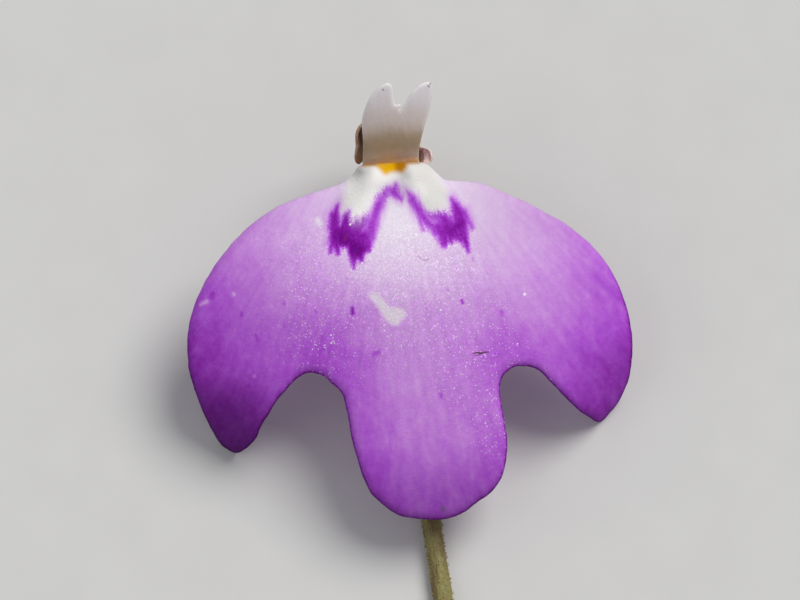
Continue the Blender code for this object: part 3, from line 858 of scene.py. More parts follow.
class Finish:
    """The nodes of one finish. Sockets that stay the same all over are set when it is made."""

    def __init__(self, name, fixed):
        self.material = bpy.data.materials.new(name)
        self.material.use_nodes = True
        self.tree = self.material.node_tree
        self.shader = self.tree.nodes["Principled BSDF"]
        for socket, value in fixed.items():
            self.shader.inputs[socket].default_value = value

    def feed(self, socket, value):
        """Link a varying value to a socket, or set the socket to a plain one."""
        if isinstance(value, Shade):
            self.tree.links.new(value.socket, socket)
        else:
            socket.default_value = value

    def node(self, kind, settings, sockets, result=0):
        """A node with its settings, then its sockets, and one of its results."""
        made = self.tree.nodes.new(kind)
        for key, value in settings.items():
            setattr(made, key, value)
        for key, value in sockets.items():
            self.feed(made.inputs[key], value)
        return Shade(self, made.outputs[result])

    def maths(self, operation, *values):
        return self.node("ShaderNodeMath", {"operation": operation}, dict(enumerate(values)))

    def vector(self, operation, *values, result=0):
        return self.node("ShaderNodeVectorMath", {"operation": operation},
                         dict(enumerate(values)), result)

    def show(self, **varying):
        """Link what varies to the shader."""
        for socket, value in varying.items():
            self.feed(self.shader.inputs[socket.replace("_", " ")], value)

    def dress(self, *pieces):
        for piece in pieces:
            piece.data.materials.append(self.material)


# %% [markdown]
# The helpers below are the few shapes that the marks are made of: a soft step, a mix of two
# colours, places in millimetres, the distance from the edge, noise and cells.

# %% Steps, mixes and scales
def soft_step(value, low, high):
    """From 0 to 1 as the value goes from low to high."""
    return value.finish.node("ShaderNodeMapRange", {"interpolation_type": "SMOOTHSTEP"},
                             {"Value": value, "From Min": low, "From Max": high})


def mix(mask, first, second):
    """The first colour where the mask is 0 and the second where it is 1."""
    colours = [c if isinstance(c, Shade) else (*c, 1.0) for c in (first, second)]
    return mask.finish.node("ShaderNodeMix", {"data_type": "RGBA"},
                            {0: mask, 6: colours[0], 7: colours[1]}, 2)


def scaled(vector, factor):
    """A vector or a colour times a number that may vary."""
    return vector.finish.node("ShaderNodeVectorMath", {"operation": "SCALE"},
                              {0: vector, "Scale": factor})


# %% Places
def place_in_mm(finish):
    """The place on the piece, in millimetres of its own frame."""
    return scaled(finish.node("ShaderNodeTexCoord", {}, {}, "Object"), 1 / MM)


def margin_depth(finish):
    """How far a place of a petal lies from its edge, as add_piece kept it."""
    return finish.node("ShaderNodeAttribute", {"attribute_name": "from_margin"}, {}, "Fac")


def flat_place(x, y):
    """A flat vector of two values."""
    return x.finish.node("ShaderNodeCombineXYZ", {}, {0: x, 1: y})


def parts(vector):
    """The X, Y and Z of a vector."""
    split = vector.finish.tree.nodes.new("ShaderNodeSeparateXYZ")
    vector.finish.feed(split.inputs[0], vector)
    return [Shade(vector.finish, output) for output in split.outputs]


def stretched(vector, x, y, z):
    """A place with each of its ways made longer or shorter."""
    return vector.finish.vector("MULTIPLY", vector, (x, y, z))


# %% Noise, cells and bump
def clouds(vector, scale, detail=2.0):
    """Soft noise from 0 to 1."""
    return vector.finish.node("ShaderNodeTexNoise", {},
                              {"Vector": vector, "Scale": scale, "Detail": detail})


def cells(vector, scale):
    """Distance to the middle of the nearest cell, and a number drawn for that cell."""
    made = vector.finish.node("ShaderNodeTexVoronoi", {}, {"Vector": vector, "Scale": scale})
    drawn = parts(Shade(vector.finish, made.socket.node.outputs["Color"]))[0]
    return made, drawn


def bump(height, strength, distance):
    """The direction that a surface faces once this height stands out of it, in metres."""
    return height.finish.node("ShaderNodeBump", {},
                              {"Height": height, "Strength": strength, "Distance": distance})


# %% [markdown]
# ## Finish of the lower lip
#
# All the purples of this petal are one dye at different strengths. Where there is little of
# it the petal is white to lilac, and where there is much it is deep violet: green light is
# swallowed first, red more slowly and blue least. So the finish works out one number, the
# strength of the dye, and turns it into red, green and blue at the end. The dye grows
# stronger towards the tips and to both sides, and more so on the left.

# %% Start the lower lip's finish
def from_point(place, x, y):
    """Distance from a place on the petal to a point."""
    return place.finish.vector("DISTANCE", place, (x, y, 0), result="Value")


lip_finish = Finish("lower_lip_finish", {
    "Roughness": 0.55, "Subsurface Weight": 0.05, "Subsurface Radius": (1.0, 0.5, 1.0),
    "Subsurface Scale": 0.00015, "Specular IOR Level": 0.03,
})
x, y = parts(place_in_mm(lip_finish))[:2]
flat_spot = flat_place(x, y)
down = lip_finish.maths("MAXIMUM", -2.0 - y, 0.0)
aside = lip_finish.maths("ABSOLUTE", x)

# %% Strength of the dye over the lobes
BROAD_SHADES = [            # (x, y, reach, dye) of patches with a little less or more dye
    (-1.50, -5.40, 0.8, -0.14), (1.70, -8.40, 1.5, -0.11), (-1.75, -8.20, 1.1, 0.09),
]
left_side = soft_step(x, -0.4, -1.6) * soft_step(y, -3.0, -5.0)
upper_left = soft_step(x, -1.2, -2.2) * soft_step(y, -4.4, -3.2)
side_tips = soft_step(aside, 3.2, 5.2) * lip_finish.maths("MAXIMUM", -5.6 - y, 0.0)
middle_end = soft_step(y, -9.0, -11.2)
left_notch = soft_step(from_point(flat_spot, -2.6, -6.2), 1.9, 0.2)
right_notch = soft_step(from_point(flat_spot, 3.1, -6.2), 1.5, 0.2)
pale_right = soft_step(x, 2.5, 4.5) * soft_step(y, -6.8, -4.8) * soft_step(y, -1.8, -3.2)
dye = 0.10 + 0.13 * down + 0.025 * x * x + 0.30 * left_side + 0.12 * side_tips
dye = dye + 0.30 * (left_notch + right_notch) - 0.13 * pale_right
dye = dye + 0.20 * middle_end + 0.15 * upper_left
for shade_x, shade_y, reach, more in BROAD_SHADES:
    dye = dye + more * soft_step(from_point(flat_spot, shade_x, shade_y), reach, 0.15 * reach)

# %% [markdown]
# Fine structure rides on that: streaks that fan out from the throat along the veins, a few
# faint flecks, and cloudiness of three sizes. One noise alone would look like fog, because a
# real petal is uneven both from cell to cell and from side to side.

# %% Streaks, clouds and flecks
fan = lip_finish.maths("ARCTAN2", x, FAN_Y - y)
streaks = clouds(flat_place(fan * 22.0, y * 0.36), 1.9, 4.0) - 0.5
cloudy = clouds(flat_spot, 0.9, 3.0) - 0.5
patchy = clouds(stretched(flat_spot, 1.0, 0.55, 0.0), 3.2, 2.0) - 0.5
mottled = clouds(flat_spot, 5.5, 2.0) - 0.5
fleck_distance, fleck_draw = cells(stretched(flat_spot, 1.0, 0.6, 1.0), 0.9)
flecks = soft_step(fleck_distance, 0.12, 0.03) * soft_step(fleck_draw, 0.45, 0.55)
dye = dye * (1.0 + 0.50 * streaks + 0.30 * cloudy + 0.45 * patchy + 0.30 * mottled) + 0.15 * flecks

# %% [markdown]
# The face sparkles: each cell is a tiny dome in the bump, and on a few drawn cells a painted
# white glint of a twentieth of a millimetre, a painted highlight, is mixed into the colour.
# Between them finer cells are lighter and darker by turns, grain whose light cells are
# painted fine glints, which gives the petal the look of fine sand. Both are thickest on the
# broad middle of the lip. In the pale field between the marks the light grains lose dye and
# so turn white, where they would only turn pink if they were made brighter.

# %% Cells, grains and painted glints
cell_distance, cell_draw = cells(flat_spot, 21.0)
grain_draw = cells(stretched(flat_spot, 1.0, 0.8, 0.0), 30.0)[1]
grain = grain_draw - 0.5
# Grain whose light cells are painted fine glints; glint is a painted highlight on drawn cells.
grain_with_glints = soft_step(grain_draw, 0.62, 1.0) - 0.22
glint = soft_step(cell_draw, 0.85, 0.97) * soft_step(cell_distance, 0.55, 0.12)
on_right = lip_finish.maths("MAXIMUM", x, 0.0)
middle_x = soft_step(x, -5.2, -2.6) * soft_step(x + 0.4 * y, 2.2, 0.2)
middle_y = soft_step(y, -0.8, -2.4) * soft_step(y + 1.5 * on_right, -7.4, -5.4)
thick_and_thin = 0.85 + 0.45 * soft_step(clouds(flat_spot, 0.8), 0.3, 0.7)
glint_and_grain_area = 0.04 + 0.96 * middle_x * middle_y * thick_and_thin
pale_field = soft_step(y, -4.2, -3.0) * soft_step(aside, 2.2, 1.2)

# %% [markdown]
# Along the margin of the lower half runs a darker line, painted shade of the rolled-back
# margin, laid on as extra dye and, in the brightness further down, as darkening, inside a
# wider band of the same painted shade. It wavers a little, because it ends with the last
# row of cells.

# %% Dye of the grains, and painted shade along the margin
margin = margin_depth(lip_finish)
low_half = soft_step(down, 1.5, 4.0)
# Painted shade of the rolled-back margin: a thin line and a wider band of extra dye.
rim_shade = soft_step(margin + 0.05 * grain, 0.065, 0.015) * low_half
dye = dye * (1.0 + 0.30 * glint_and_grain_area * grain)
dye = dye + 0.18 * low_half * soft_step(margin, 0.20, 0.0) + 1.1 * rim_shade
dye = dye + 0.14 * glint_and_grain_area * soft_step(y, -3.4, -5.0)
# In the pale field the painted fine glints take out dye and so turn white.
dye = dye * (1.0 - 0.65 * pale_field * glint_and_grain_area * grain_with_glints)

# %% [markdown]
# ## The marks of the palate
#
# Two dark arms run down from a point between the humps and end in ragged blotches. They are
# drawn as tapered strokes, each from one point and radius to another, and the finish works
# out how far each spot of the petal is from the nearest stroke. Their edges are ragged
# along the lip, because the dye follows the rows of cells, so the place is shaken up and
# down by narrow noise before the strokes are measured.

# %% Strokes as (x, y, radius) to (x, y, radius)
THIN_STROKES = [            # the crown, the two arms and a thin mark at the far right
    (0.06, -0.60, 0.05, 0.00, -0.80, 0.15), (0.02, -0.82, 0.13, 0.20, -1.05, 0.06),
    (-0.08, -0.76, 0.08, -0.22, -0.84, 0.03), (-0.39, -1.00, 0.06, -0.52, -1.19, 0.12),
    (-0.52, -1.19, 0.13, -0.70, -1.55, 0.14), (-0.70, -1.55, 0.14, -0.93, -2.12, 0.20),
    (-0.93, -2.12, 0.19, -0.99, -2.34, 0.15), (0.47, -0.90, 0.05, 0.58, -1.13, 0.11),
    (0.58, -1.13, 0.12, 0.79, -1.68, 0.14), (0.79, -1.68, 0.14, 1.08, -2.04, 0.14),
    (1.08, -2.04, 0.15, 1.30, -2.30, 0.18), (1.30, -2.34, 0.17, 1.34, -2.74, 0.05),
    (0.72, -1.76, 0.06, 0.79, -2.16, 0.01), (2.12, -1.72, 0.12, 2.37, -2.26, 0.04),
]
DEEP_STROKES = [            # the blotches and their teeth
    (-1.82, -1.04, 0.02, -1.96, -1.36, 0.13), (-1.96, -1.36, 0.14, -2.00, -1.78, 0.15),
    (-2.00, -1.78, 0.16, -2.04, -2.22, 0.16), (-2.02, -2.22, 0.17, -1.98, -2.62, 0.05),
    (-2.16, -2.34, 0.06, -2.22, -2.56, 0.02), (-1.47, -1.28, 0.02, -1.60, -1.50, 0.10),
    (-1.60, -1.50, 0.11, -1.70, -1.84, 0.20), (-1.72, -1.98, 0.28, -1.66, -2.14, 0.27),
    (-1.86, -1.84, 0.14, -1.86, -2.30, 0.14), (-1.42, -2.12, 0.24, -1.38, -2.56, 0.25),
    (-1.14, -2.18, 0.20, -1.14, -2.50, 0.18), (-1.48, -2.66, 0.13, -1.53, -3.06, 0.02),
    (-1.28, -2.62, 0.14, -1.27, -2.90, 0.06), (-1.02, -2.38, 0.12, -0.97, -2.58, 0.03),
    (1.44, -2.20, 0.22, 1.88, -2.28, 0.29), (1.78, -1.22, 0.02, 1.93, -1.58, 0.11),
    (1.93, -1.58, 0.12, 1.99, -2.06, 0.20), (2.00, -2.22, 0.20, 2.13, -2.94, 0.03),
    (1.40, -1.66, 0.02, 1.52, -1.98, 0.12), (1.50, -2.30, 0.19, 1.42, -2.62, 0.08),
    (1.62, -2.30, 0.16, 1.60, -2.58, 0.08), (1.86, -2.30, 0.22, 1.90, -2.52, 0.13),
]
CORE_STROKES = [            # the darkest places
    (-1.85, -2.05, 0.14, -1.50, -2.45, 0.18), (-1.50, -2.45, 0.18, -1.25, -2.62, 0.18),
    (1.66, -2.28, 0.00, 2.00, -2.08, 0.02),
]
RED_STROKES = [             # a short reddish vein in the left blotch
    (-1.63, -1.99, 0.01, -1.73, -2.20, 0.02), (-1.62, -2.02, 0.01, -1.68, -2.14, 0.03),
]
HAZE_STROKES = [            # the soft upper edges, where the dye thins out cell by cell
    (-1.46, -1.86, 0.20, -1.02, -1.76, 0.24), (1.02, -1.68, 0.08, 1.36, -1.92, 0.20),
    (1.40, -1.96, 0.20, 1.76, -1.98, 0.18), (-0.22, -0.84, 0.04, -0.42, -1.00, 0.06),
]

# %% How far a spot is from a stroke
STROKE_BLEND = 0.06         # how softly neighbouring strokes melt together


def from_stroke(place, x1, y1, r1, x2, y2, r2):
    """Distance from a place to a tapered stroke, less than zero inside it."""
    finish = place.finish
    run = Vector((x2 - x1, y2 - y1, 0))
    offset = finish.vector("SUBTRACT", place, (x1, y1, 0))
    raw = finish.vector("DOT_PRODUCT", offset, tuple(run / run.length_squared), result="Value")
    part = finish.node("ShaderNodeClamp", {}, {0: raw})
    along = finish.node("ShaderNodeVectorMath", {"operation": "SCALE"}, {0: tuple(run), "Scale": part})
    away = finish.vector("SUBTRACT", offset, along)
    return finish.vector("LENGTH", away, result="Value") + part * (r1 - r2) - r1


def from_strokes(place, strokes):
    """Distance from a place to the nearest of several strokes."""
    nearest = from_stroke(place, *strokes[0])
    for stroke in strokes[1:]:
        step = from_stroke(place, *stroke)
        nearest = place.finish.maths("SMOOTH_MIN", nearest, step, STROKE_BLEND)
    return nearest


# %% Lay the marks on the lip
comb = clouds(stretched(flat_spot, 6.0, 0.5, 0.0), 1.0, 1.5) - 0.5
sideways = clouds(flat_spot, 2.2, 1.0) - 0.5
shaken = flat_place(x + 0.10 * sideways, y + 0.32 * comb)
to_thin = from_strokes(shaken, THIN_STROKES)
to_deep = from_strokes(shaken, DEEP_STROKES)
to_either = lip_finish.maths("MINIMUM", to_thin, to_deep)
in_thin = soft_step(to_thin + 0.05 * grain, 0.12, -0.10)
in_deep = soft_step(to_deep + 0.05 * grain, 0.11, -0.12)
in_marks = lip_finish.maths("MAXIMUM", in_thin, in_deep)
thin_core = soft_step(to_thin, 0.0, -0.14)
deep_core = soft_step(from_strokes(flat_spot, CORE_STROKES), 0.22, -0.16)
haze = soft_step(from_strokes(shaken, HAZE_STROKES) + 0.16 * grain, 0.20, -0.14)
halo = soft_step(to_either, 0.30, 0.02) * soft_step(y, -2.5, -1.5)
on_red = soft_step(from_strokes(flat_spot, RED_STROKES), 0.05, -0.03)

# %% [markdown]
# ## The palate and the small marks
#
# The palate itself is white, with a yellow patch at its crest that turns orange brown where
# it dips into the mouth. On top of the shading of its humps, painted shade greys the left end
# of the crest and darkens a spot under the orange, the outer foot of each hump and the right
# hump, and painted light brightens the inner foot and the left hump. Further down the lip a
# pale scar, dots, soft darker and paler spots and a smudge break the purple, as on any petal
# that insects have walked on, and a few painted glints shine on it.

# %% Places of the yellow, the scar, the dots and the painted glints
YELLOW_STROKES = [
    (-0.33, 0.04, 0.08, -0.17, -0.13, 0.11), (-0.14, -0.02, 0.13, 0.36, -0.04, 0.13),
    (0.20, -0.08, 0.11, 0.31, -0.14, 0.10), (-0.10, -0.10, 0.10, 0.20, -0.10, 0.10),
]
SCAR_STROKES = [
    (-1.00, -3.98, 0.14, -0.78, -4.33, 0.12), (-0.78, -4.33, 0.12, -0.56, -4.78, 0.12),
    (-0.50, -4.58, 0.12, -0.24, -4.72, 0.18), (-0.52, -4.66, 0.11, -0.40, -4.88, 0.17),
]
DOT_STROKES = [
    (-1.70, -4.36, 0.02, -1.70, -4.54, 0.03), (1.77, -4.50, 0.01, 1.78, -4.57, 0.01),
]
FAINT_STROKES = [           # soft small spots with a little more dye
    (-6.08, -3.46, 0.07, -6.10, -3.52, 0.07), (-5.22, -4.15, 0.03, -5.22, -4.21, 0.03),
    (-4.84, -4.90, 0.03, -4.80, -5.05, 0.03), (-3.84, -3.97, 0.02, -3.83, -4.01, 0.02),
    (-2.85, -4.33, 0.01, -2.85, -4.36, 0.01), (-1.16, -5.88, 0.05, -1.02, -5.84, 0.04),
    (1.36, -4.08, 0.00, 1.37, -4.12, 0.00), (2.25, -3.20, 0.00, 2.27, -3.26, 0.00),
    (2.98, -4.98, 0.04, 3.00, -5.06, 0.04), (0.78, -7.38, 0.03, 0.80, -7.46, 0.03),
]
PALE_STROKES = [            # and with a little less
    (-2.50, -1.46, 0.07, -2.44, -1.58, 0.08), (-5.03, -6.17, 0.01, -5.03, -6.19, 0.01),
    (-6.50, -3.74, 0.03, -6.30, -3.66, 0.05), (-5.40, -3.50, 0.03, -5.40, -3.54, 0.03),
]
# Painted highlights at given points, mixed to white in the colour.
PAINTED_GLINTS = [            # (x, y, radius)
    (-1.49, -1.72, 0.035), (3.77, -4.51, 0.045), (3.38, -6.05, 0.022), (2.31, -6.29, 0.022),
    (-2.48, -5.39, 0.026), (-2.46, -5.14, 0.024), (1.08, -4.72, 0.028), (-1.24, -2.98, 0.030),
]

# %% Lay the palate's colours on the lip
on_palate = soft_step(from_strokes(flat_spot, PALATE_STROKES) + 0.15 * patchy, 0.16, -0.22)
on_yellow = soft_step(from_strokes(flat_spot, YELLOW_STROKES) + 0.04 * patchy, 0.14, -0.09)
on_crest = soft_step(y + 0.05 * x, -0.05, 0.07) * soft_step(aside, 1.05, 0.85)
# Places of the painted shade and light on the palate.
end_shade = soft_step(from_point(flat_spot, -1.02, 0.00), 0.58, -0.10)
hollow_shade = soft_step(from_point(flat_spot, 0.42, -0.34), 0.34, 0.0)
folded_spot = flat_place(aside, y)
inner_light = soft_step(from_point(folded_spot, 0.76, -0.90), 0.46, 0.08)
outer_shade = soft_step(from_point(folded_spot, 1.62, -1.02), 0.50, 0.08)

# %% Lay the small marks on the lip
scar_edge = from_strokes(flat_spot, SCAR_STROKES) + 0.05 * patchy + 0.04 * grain
on_scar = soft_step(scar_edge, 0.09, -0.08) * soft_step(y, -3.78, -4.16)
on_dots = soft_step(from_strokes(flat_spot, DOT_STROKES) + 0.02 * grain, 0.085, -0.06)
on_faint = soft_step(from_strokes(flat_spot, FAINT_STROKES), 0.08, -0.04)
on_pale = soft_step(from_strokes(flat_spot, PALE_STROKES), 0.09, -0.05)
smudge = soft_step(from_point(flat_spot, 0.47, -11.0), 0.17, 0.04)
# Painted highlights at the listed points.
on_painted_glint = 0.0
for glint_x, glint_y, radius in PAINTED_GLINTS:
    on_painted_glint = on_painted_glint + soft_step(from_point(flat_spot, glint_x, glint_y), 1.6 * radius, 0.4 * radius)

# %% Dye of all the marks
dye = dye * (1.0 - 0.85 * on_palate) * (1.0 - 0.80 * on_scar) + 1.9 * on_dots + 0.50 * on_faint
dye = dye * (1.0 - 0.6 * on_pale)
haze_dye = 1.45 + 0.6 * soft_step(x, 0.3, -0.3)
dye = dye + 0.26 * halo + haze_dye * haze * (1.0 - in_thin)
thin_dye = 1.58 + 0.4 * thin_core + 0.6 * grain + 0.5 * (cell_draw - 0.5)
dye = dye * (1.0 - in_thin) + in_thin * thin_dye
left_blotch = soft_step(x, -0.95, -1.35)
deep_dye = 2.8 + 0.2 * left_blotch + 1.0 * deep_core
deep_dye = deep_dye + 0.7 * grain + 0.7 * (cell_draw - 0.5) + 0.8 * streaks
dye = dye * (1.0 - in_deep) + in_deep * deep_dye

# %% [markdown]
# The back of the lip is paler and has no marks. The petal knows which side it shows from the
# direction that it faces in its own frame. The tips of the lobes get painted shade where
# they curl away from the light, most of all the tip of the left lobe.

# %% Face and back, and painted shade on the tips
facing = parts(lip_finish.node("ShaderNodeTexCoord", {}, {}, "Normal"))[2]
on_face = soft_step(facing, -0.15, 0.15)
back_dye = 0.25 + 0.09 * down + 0.014 * x * x + 0.25 * streaks + 0.2 * cloudy
dye = dye * on_face + back_dye * (1.0 - on_face)
# Painted shade: the tips of the lobes are darker where they curl away from the light.
left_tip = soft_step(x, -3.6, -5.6) * soft_step(y - 0.35 * aside, -7.0, -11.0)
right_tip = soft_step(x, 4.4, 5.6) * soft_step(y, -7.9, -9.0)
middle_tip = soft_step(aside, 3.0, 2.0) * soft_step(y, -8.6, -11.2)
tip_shade = 0.68 * left_tip + 0.25 * right_tip + 0.34 * middle_tip


# %% Dye into colour
def dyed(dye):
    """Red, green and blue of petal tissue that holds so much dye."""
    finish = dye.finish
    red = 0.86 * finish.maths("EXPONENT", dye * -0.45)
    green = red * finish.maths("EXPONENT", dye * -1.0)
    blue = red * finish.maths("MINIMUM", 1.02 * finish.maths("EXPONENT", dye * 0.26), 1.52)
    return finish.node("ShaderNodeCombineColor", {}, {0: red, 1: green, 2: blue})


# %% [markdown]
# Brightness is kept apart from dye. One factor holds painted shade near the throat on the
# right and along the rolled margin, a lighter tone inside the marks, the painted fine glints
# and the grain; a second factor holds painted shade and light on the parts of the palate.
# The colours that aren't dye are mixed in one after another: painted tip shade, scar,
# smudge, red vein, white palate, ochre crest, yellow patch and last of all the painted
# glints.

# %% Colour of the purple parts
TIP_SHADE_VIOLET = (0.035, 0.004, 0.055)
SCAR_GREY = (0.70, 0.60, 0.70)
SMUDGE_GREY = (0.09, 0.07, 0.10)
RED_VEIN = (0.22, 0.02, 0.17)

# Painted highlights: the glints, mixed to white further down.
sparkle = glint * glint_and_grain_area * on_face * (1.0 - in_deep) * (1.0 - tip_shade) * (1.0 - 0.55 * pale_field)
# Painted shade near the throat on the right and along the rolled margin; lighter tone inside the marks.
shade_and_tone = 0.12 * soft_step(x, 1.2, 3.0) * soft_step(y, -4.4, -1.8) + 0.01 - 0.14 * in_deep - 0.08 * in_thin
shade_and_tone = shade_and_tone + 0.10 * low_half * soft_step(margin, 0.16, 0.02) + 0.22 * rim_shade
grainy = glint_and_grain_area * on_face + 0.6 * in_marks
# Brightness: painted shade, painted fine glints and the grain.
light_and_grain = 1.0 - shade_and_tone + (0.26 - 0.15 * pale_field) * grainy * grain_with_glints
light_and_grain = light_and_grain + (0.02 + 0.09 * grainy) * (cell_draw - 0.5)
colour = scaled(dyed(dye * (1.0 - 0.4 * sparkle)), light_and_grain)
colour = mix(tip_shade, colour, TIP_SHADE_VIOLET)
colour = mix(0.5 * on_scar * on_face, colour, SCAR_GREY)
colour = mix(0.5 * smudge * on_face, colour, SMUDGE_GREY)
colour = mix(0.6 * on_red, colour, RED_VEIN)

# %% Colour of the palate and the glints
PALATE_WHITE = (0.80, 0.785, 0.75)
CREST_OCHRE = (0.48, 0.27, 0.08)
YELLOW = (0.76, 0.41, 0.003)
ORANGE_BROWN = (0.44, 0.18, 0.003)
SPARKLE_WHITE = (0.98, 0.93, 1.0)

unmarked = (1.0 - in_thin) * (1.0 - in_deep) * (1.0 - 0.8 * haze) * (1.0 - 0.45 * halo)
colour = mix(on_palate * unmarked * on_face * 0.85, colour, PALATE_WHITE)
# Painted light and shade on the palate: lighter on the left hump and the inner foot, darker on the
# right hump, at the left end of the crest, under the orange and at the outer foot.
side_light = 0.10 * soft_step(x, 0.9, -1.1) - 0.10 * soft_step(x, -0.3, 0.9)
painted_palate_light = 1.0 + on_palate * side_light - on_palate * (0.66 * end_shade + 0.25 * hollow_shade)
left_half = soft_step(x, 0.5, -0.5)
painted_palate_light = painted_palate_light + (0.17 * inner_light - (0.04 + 0.09 * left_half) * outer_shade) * on_face
colour = scaled(colour, painted_palate_light)
colour = mix(on_crest * on_face * 0.9, colour, CREST_OCHRE)
yellow_patch = mix(soft_step(x, 0.02, 0.24), YELLOW, ORANGE_BROWN)
colour = mix(on_yellow * on_face, colour, yellow_patch)
# Painted highlights: the glints and the listed bright points, mixed to white.
colour = mix(0.62 * sparkle + 0.85 * on_painted_glint, colour, SPARKLE_WHITE)

# %% Put the lower lip's finish together
dome_height = soft_step(cell_distance, 0.75, 0.0)
skin_height = dome_height * 0.6 + clouds(flat_spot, 9.0) * 0.5
lip_finish.show(Base_Color=colour, Roughness=0.62 - 0.20 * sparkle,
                Normal=bump(skin_height, 0.35, 0.00003))
lip_finish.dress(lower_lip)

# %% [markdown]
# ## Finish of the upper lip
#
# The upper lip is white and so thin that what lies behind it shows through. Its ears are
# clean white with a faint rosy cast. Towards the foot it is painted grey and tan, for the
# brown calyx that shows through and for painted shade on its lower part, and along the foot
# lies a painted orange reflection of the yellow palate, where the fold would be in shade. A
# painted bright thin line, light through the clearest tissue, runs along its margin, and a
# few dark specks sit on the ears.

# %% The upper lip
SPECK_STROKES = [
    (0.00, 2.40, 0.012, 0.01, 2.39, 0.012), (1.43, 2.37, 0.012, 1.47, 2.34, 0.012),
    (1.50, 2.42, 0.010, 1.53, 2.44, 0.012),
]
EAR_WHITE = (0.76, 0.72, 0.74)
RIM_WHITE = (0.80, 0.79, 0.80)
LIP_GREY = (0.70, 0.62, 0.57)
LIP_TAN = (0.42, 0.31, 0.20)
FOOT_TAN = (0.55, 0.43, 0.35)
BOUNCE_ORANGE = (0.90, 0.58, 0.20)
SPECK_BROWN = (0.12, 0.09, 0.08)

upper_finish = Finish("upper_lip_finish", {
    "Roughness": 0.5, "Subsurface Weight": 0.2, "Subsurface Radius": (1.0, 0.8, 0.7),
    "Subsurface Scale": 0.0002, "Specular IOR Level": 0.3,
})
spot = place_in_mm(upper_finish)
x, y, w = parts(spot)
mottle = clouds(stretched(spot, 4.0, 1.2, 1.0), 1.5, 3.0) - 0.5
height = y + 0.25 * mottle + 0.12 * x * x
# Painted grey and tan towards the foot: the calyx showing through, and painted shade.
colour = mix(soft_step(height, 0.30, 0.70), FOOT_TAN, LIP_TAN)
colour = mix(soft_step(height, 0.80, 1.50), colour, LIP_GREY)
colour = mix(soft_step(height, 1.35, 2.30), colour, EAR_WHITE)
# Painted light: a bright thin line along the margin.
rim_light = soft_step(margin_depth(upper_finish), 0.10, 0.02) * soft_step(y, 0.8, 1.6)
colour = mix(rim_light * 0.5, colour, RIM_WHITE)
# Painted reflection of the yellow palate: orange along the foot, where the fold is in shade.
in_front = soft_step(w + 0.9 * y, -2.00, -1.88)
bounce_band = soft_step(y, 0.26, 0.07) * in_front
colour = mix(bounce_band * 0.9, colour, BOUNCE_ORANGE)
colour = mix(1.0 - in_front, colour, LIP_GREY)
cell_distance, cell_draw = cells(spot, 18.0)
specks = soft_step(from_strokes(flat_place(x, y), SPECK_STROKES) + 0.02 * mottle, 0.03, -0.01)
colour = mix(specks * 0.75, colour, SPECK_BROWN)
upper_finish.show(Base_Color=colour, Roughness=0.45 + 0.2 * cell_draw,
                  Normal=bump(soft_step(cell_distance, 0.7, 0.0), 0.25, 0.00002))
upper_finish.dress(upper_lip)

# %% [markdown]
# ## Finish of the tube and spur
#
# The tube and spur are pale mauve, whiter towards the mouth and deeper towards the tip of
# the spur, with darker veins running along them. The throat inside is pale yellow.

# %% The tube and spur
MOUTH_CREAM = (0.60, 0.53, 0.42)
THROAT_YELLOW = (0.72, 0.52, 0.16)

spur_finish = Finish("tube_and_spur_finish", {
    "Roughness": 0.5, "Subsurface Weight": 0.2, "Subsurface Radius": (1.0, 0.6, 0.9),
    "Subsurface Scale": 0.0003, "Specular IOR Level": 0.35,
})
spot = place_in_mm(spur_finish)
x, y, w = parts(spot)
around = spur_finish.maths("ARCTAN2", x, w + 2.6)
vein_noise = clouds(flat_place(around * 3.0, y * 0.4), 1.7, 2.0)
veins = soft_step(spur_finish.maths("ABSOLUTE", vein_noise - 0.5), 0.05, 0.0)
cell_distance, cell_draw = cells(stretched(spot, 1.0, 0.6, 1.0), 16.0)
dye = 0.22 + 0.16 * spur_finish.maths("MAXIMUM", -0.5 - y, 0.0) + 0.35 * veins
dye = dye + 0.5 * (clouds(spot, 1.5, 3.0) - 0.5) + 0.12 * (cell_draw - 0.5)
near_mouth = soft_step(w, -3.0, -2.2)
colour = mix(near_mouth * 0.9, dyed(dye), MOUTH_CREAM)
in_throat = near_mouth * soft_step(spur_finish.maths("ABSOLUTE", x), 0.80, 0.6)
colour = mix(in_throat * 0.5, colour, THROAT_YELLOW)
spur_finish.show(Base_Color=colour, Roughness=0.48 + 0.15 * cell_draw,
                 Normal=bump(soft_step(cell_distance, 0.75, 0.0), 0.3, 0.00003))
spur_finish.dress(spur)

# %% [markdown]
# ## Finish of the calyx, the stalk and the small leaves
#
# These are the plain green and brown parts. They share one recipe with different colours:
# two shades mixed by streaky noise along the piece, small dark cells, and a bumpy skin.

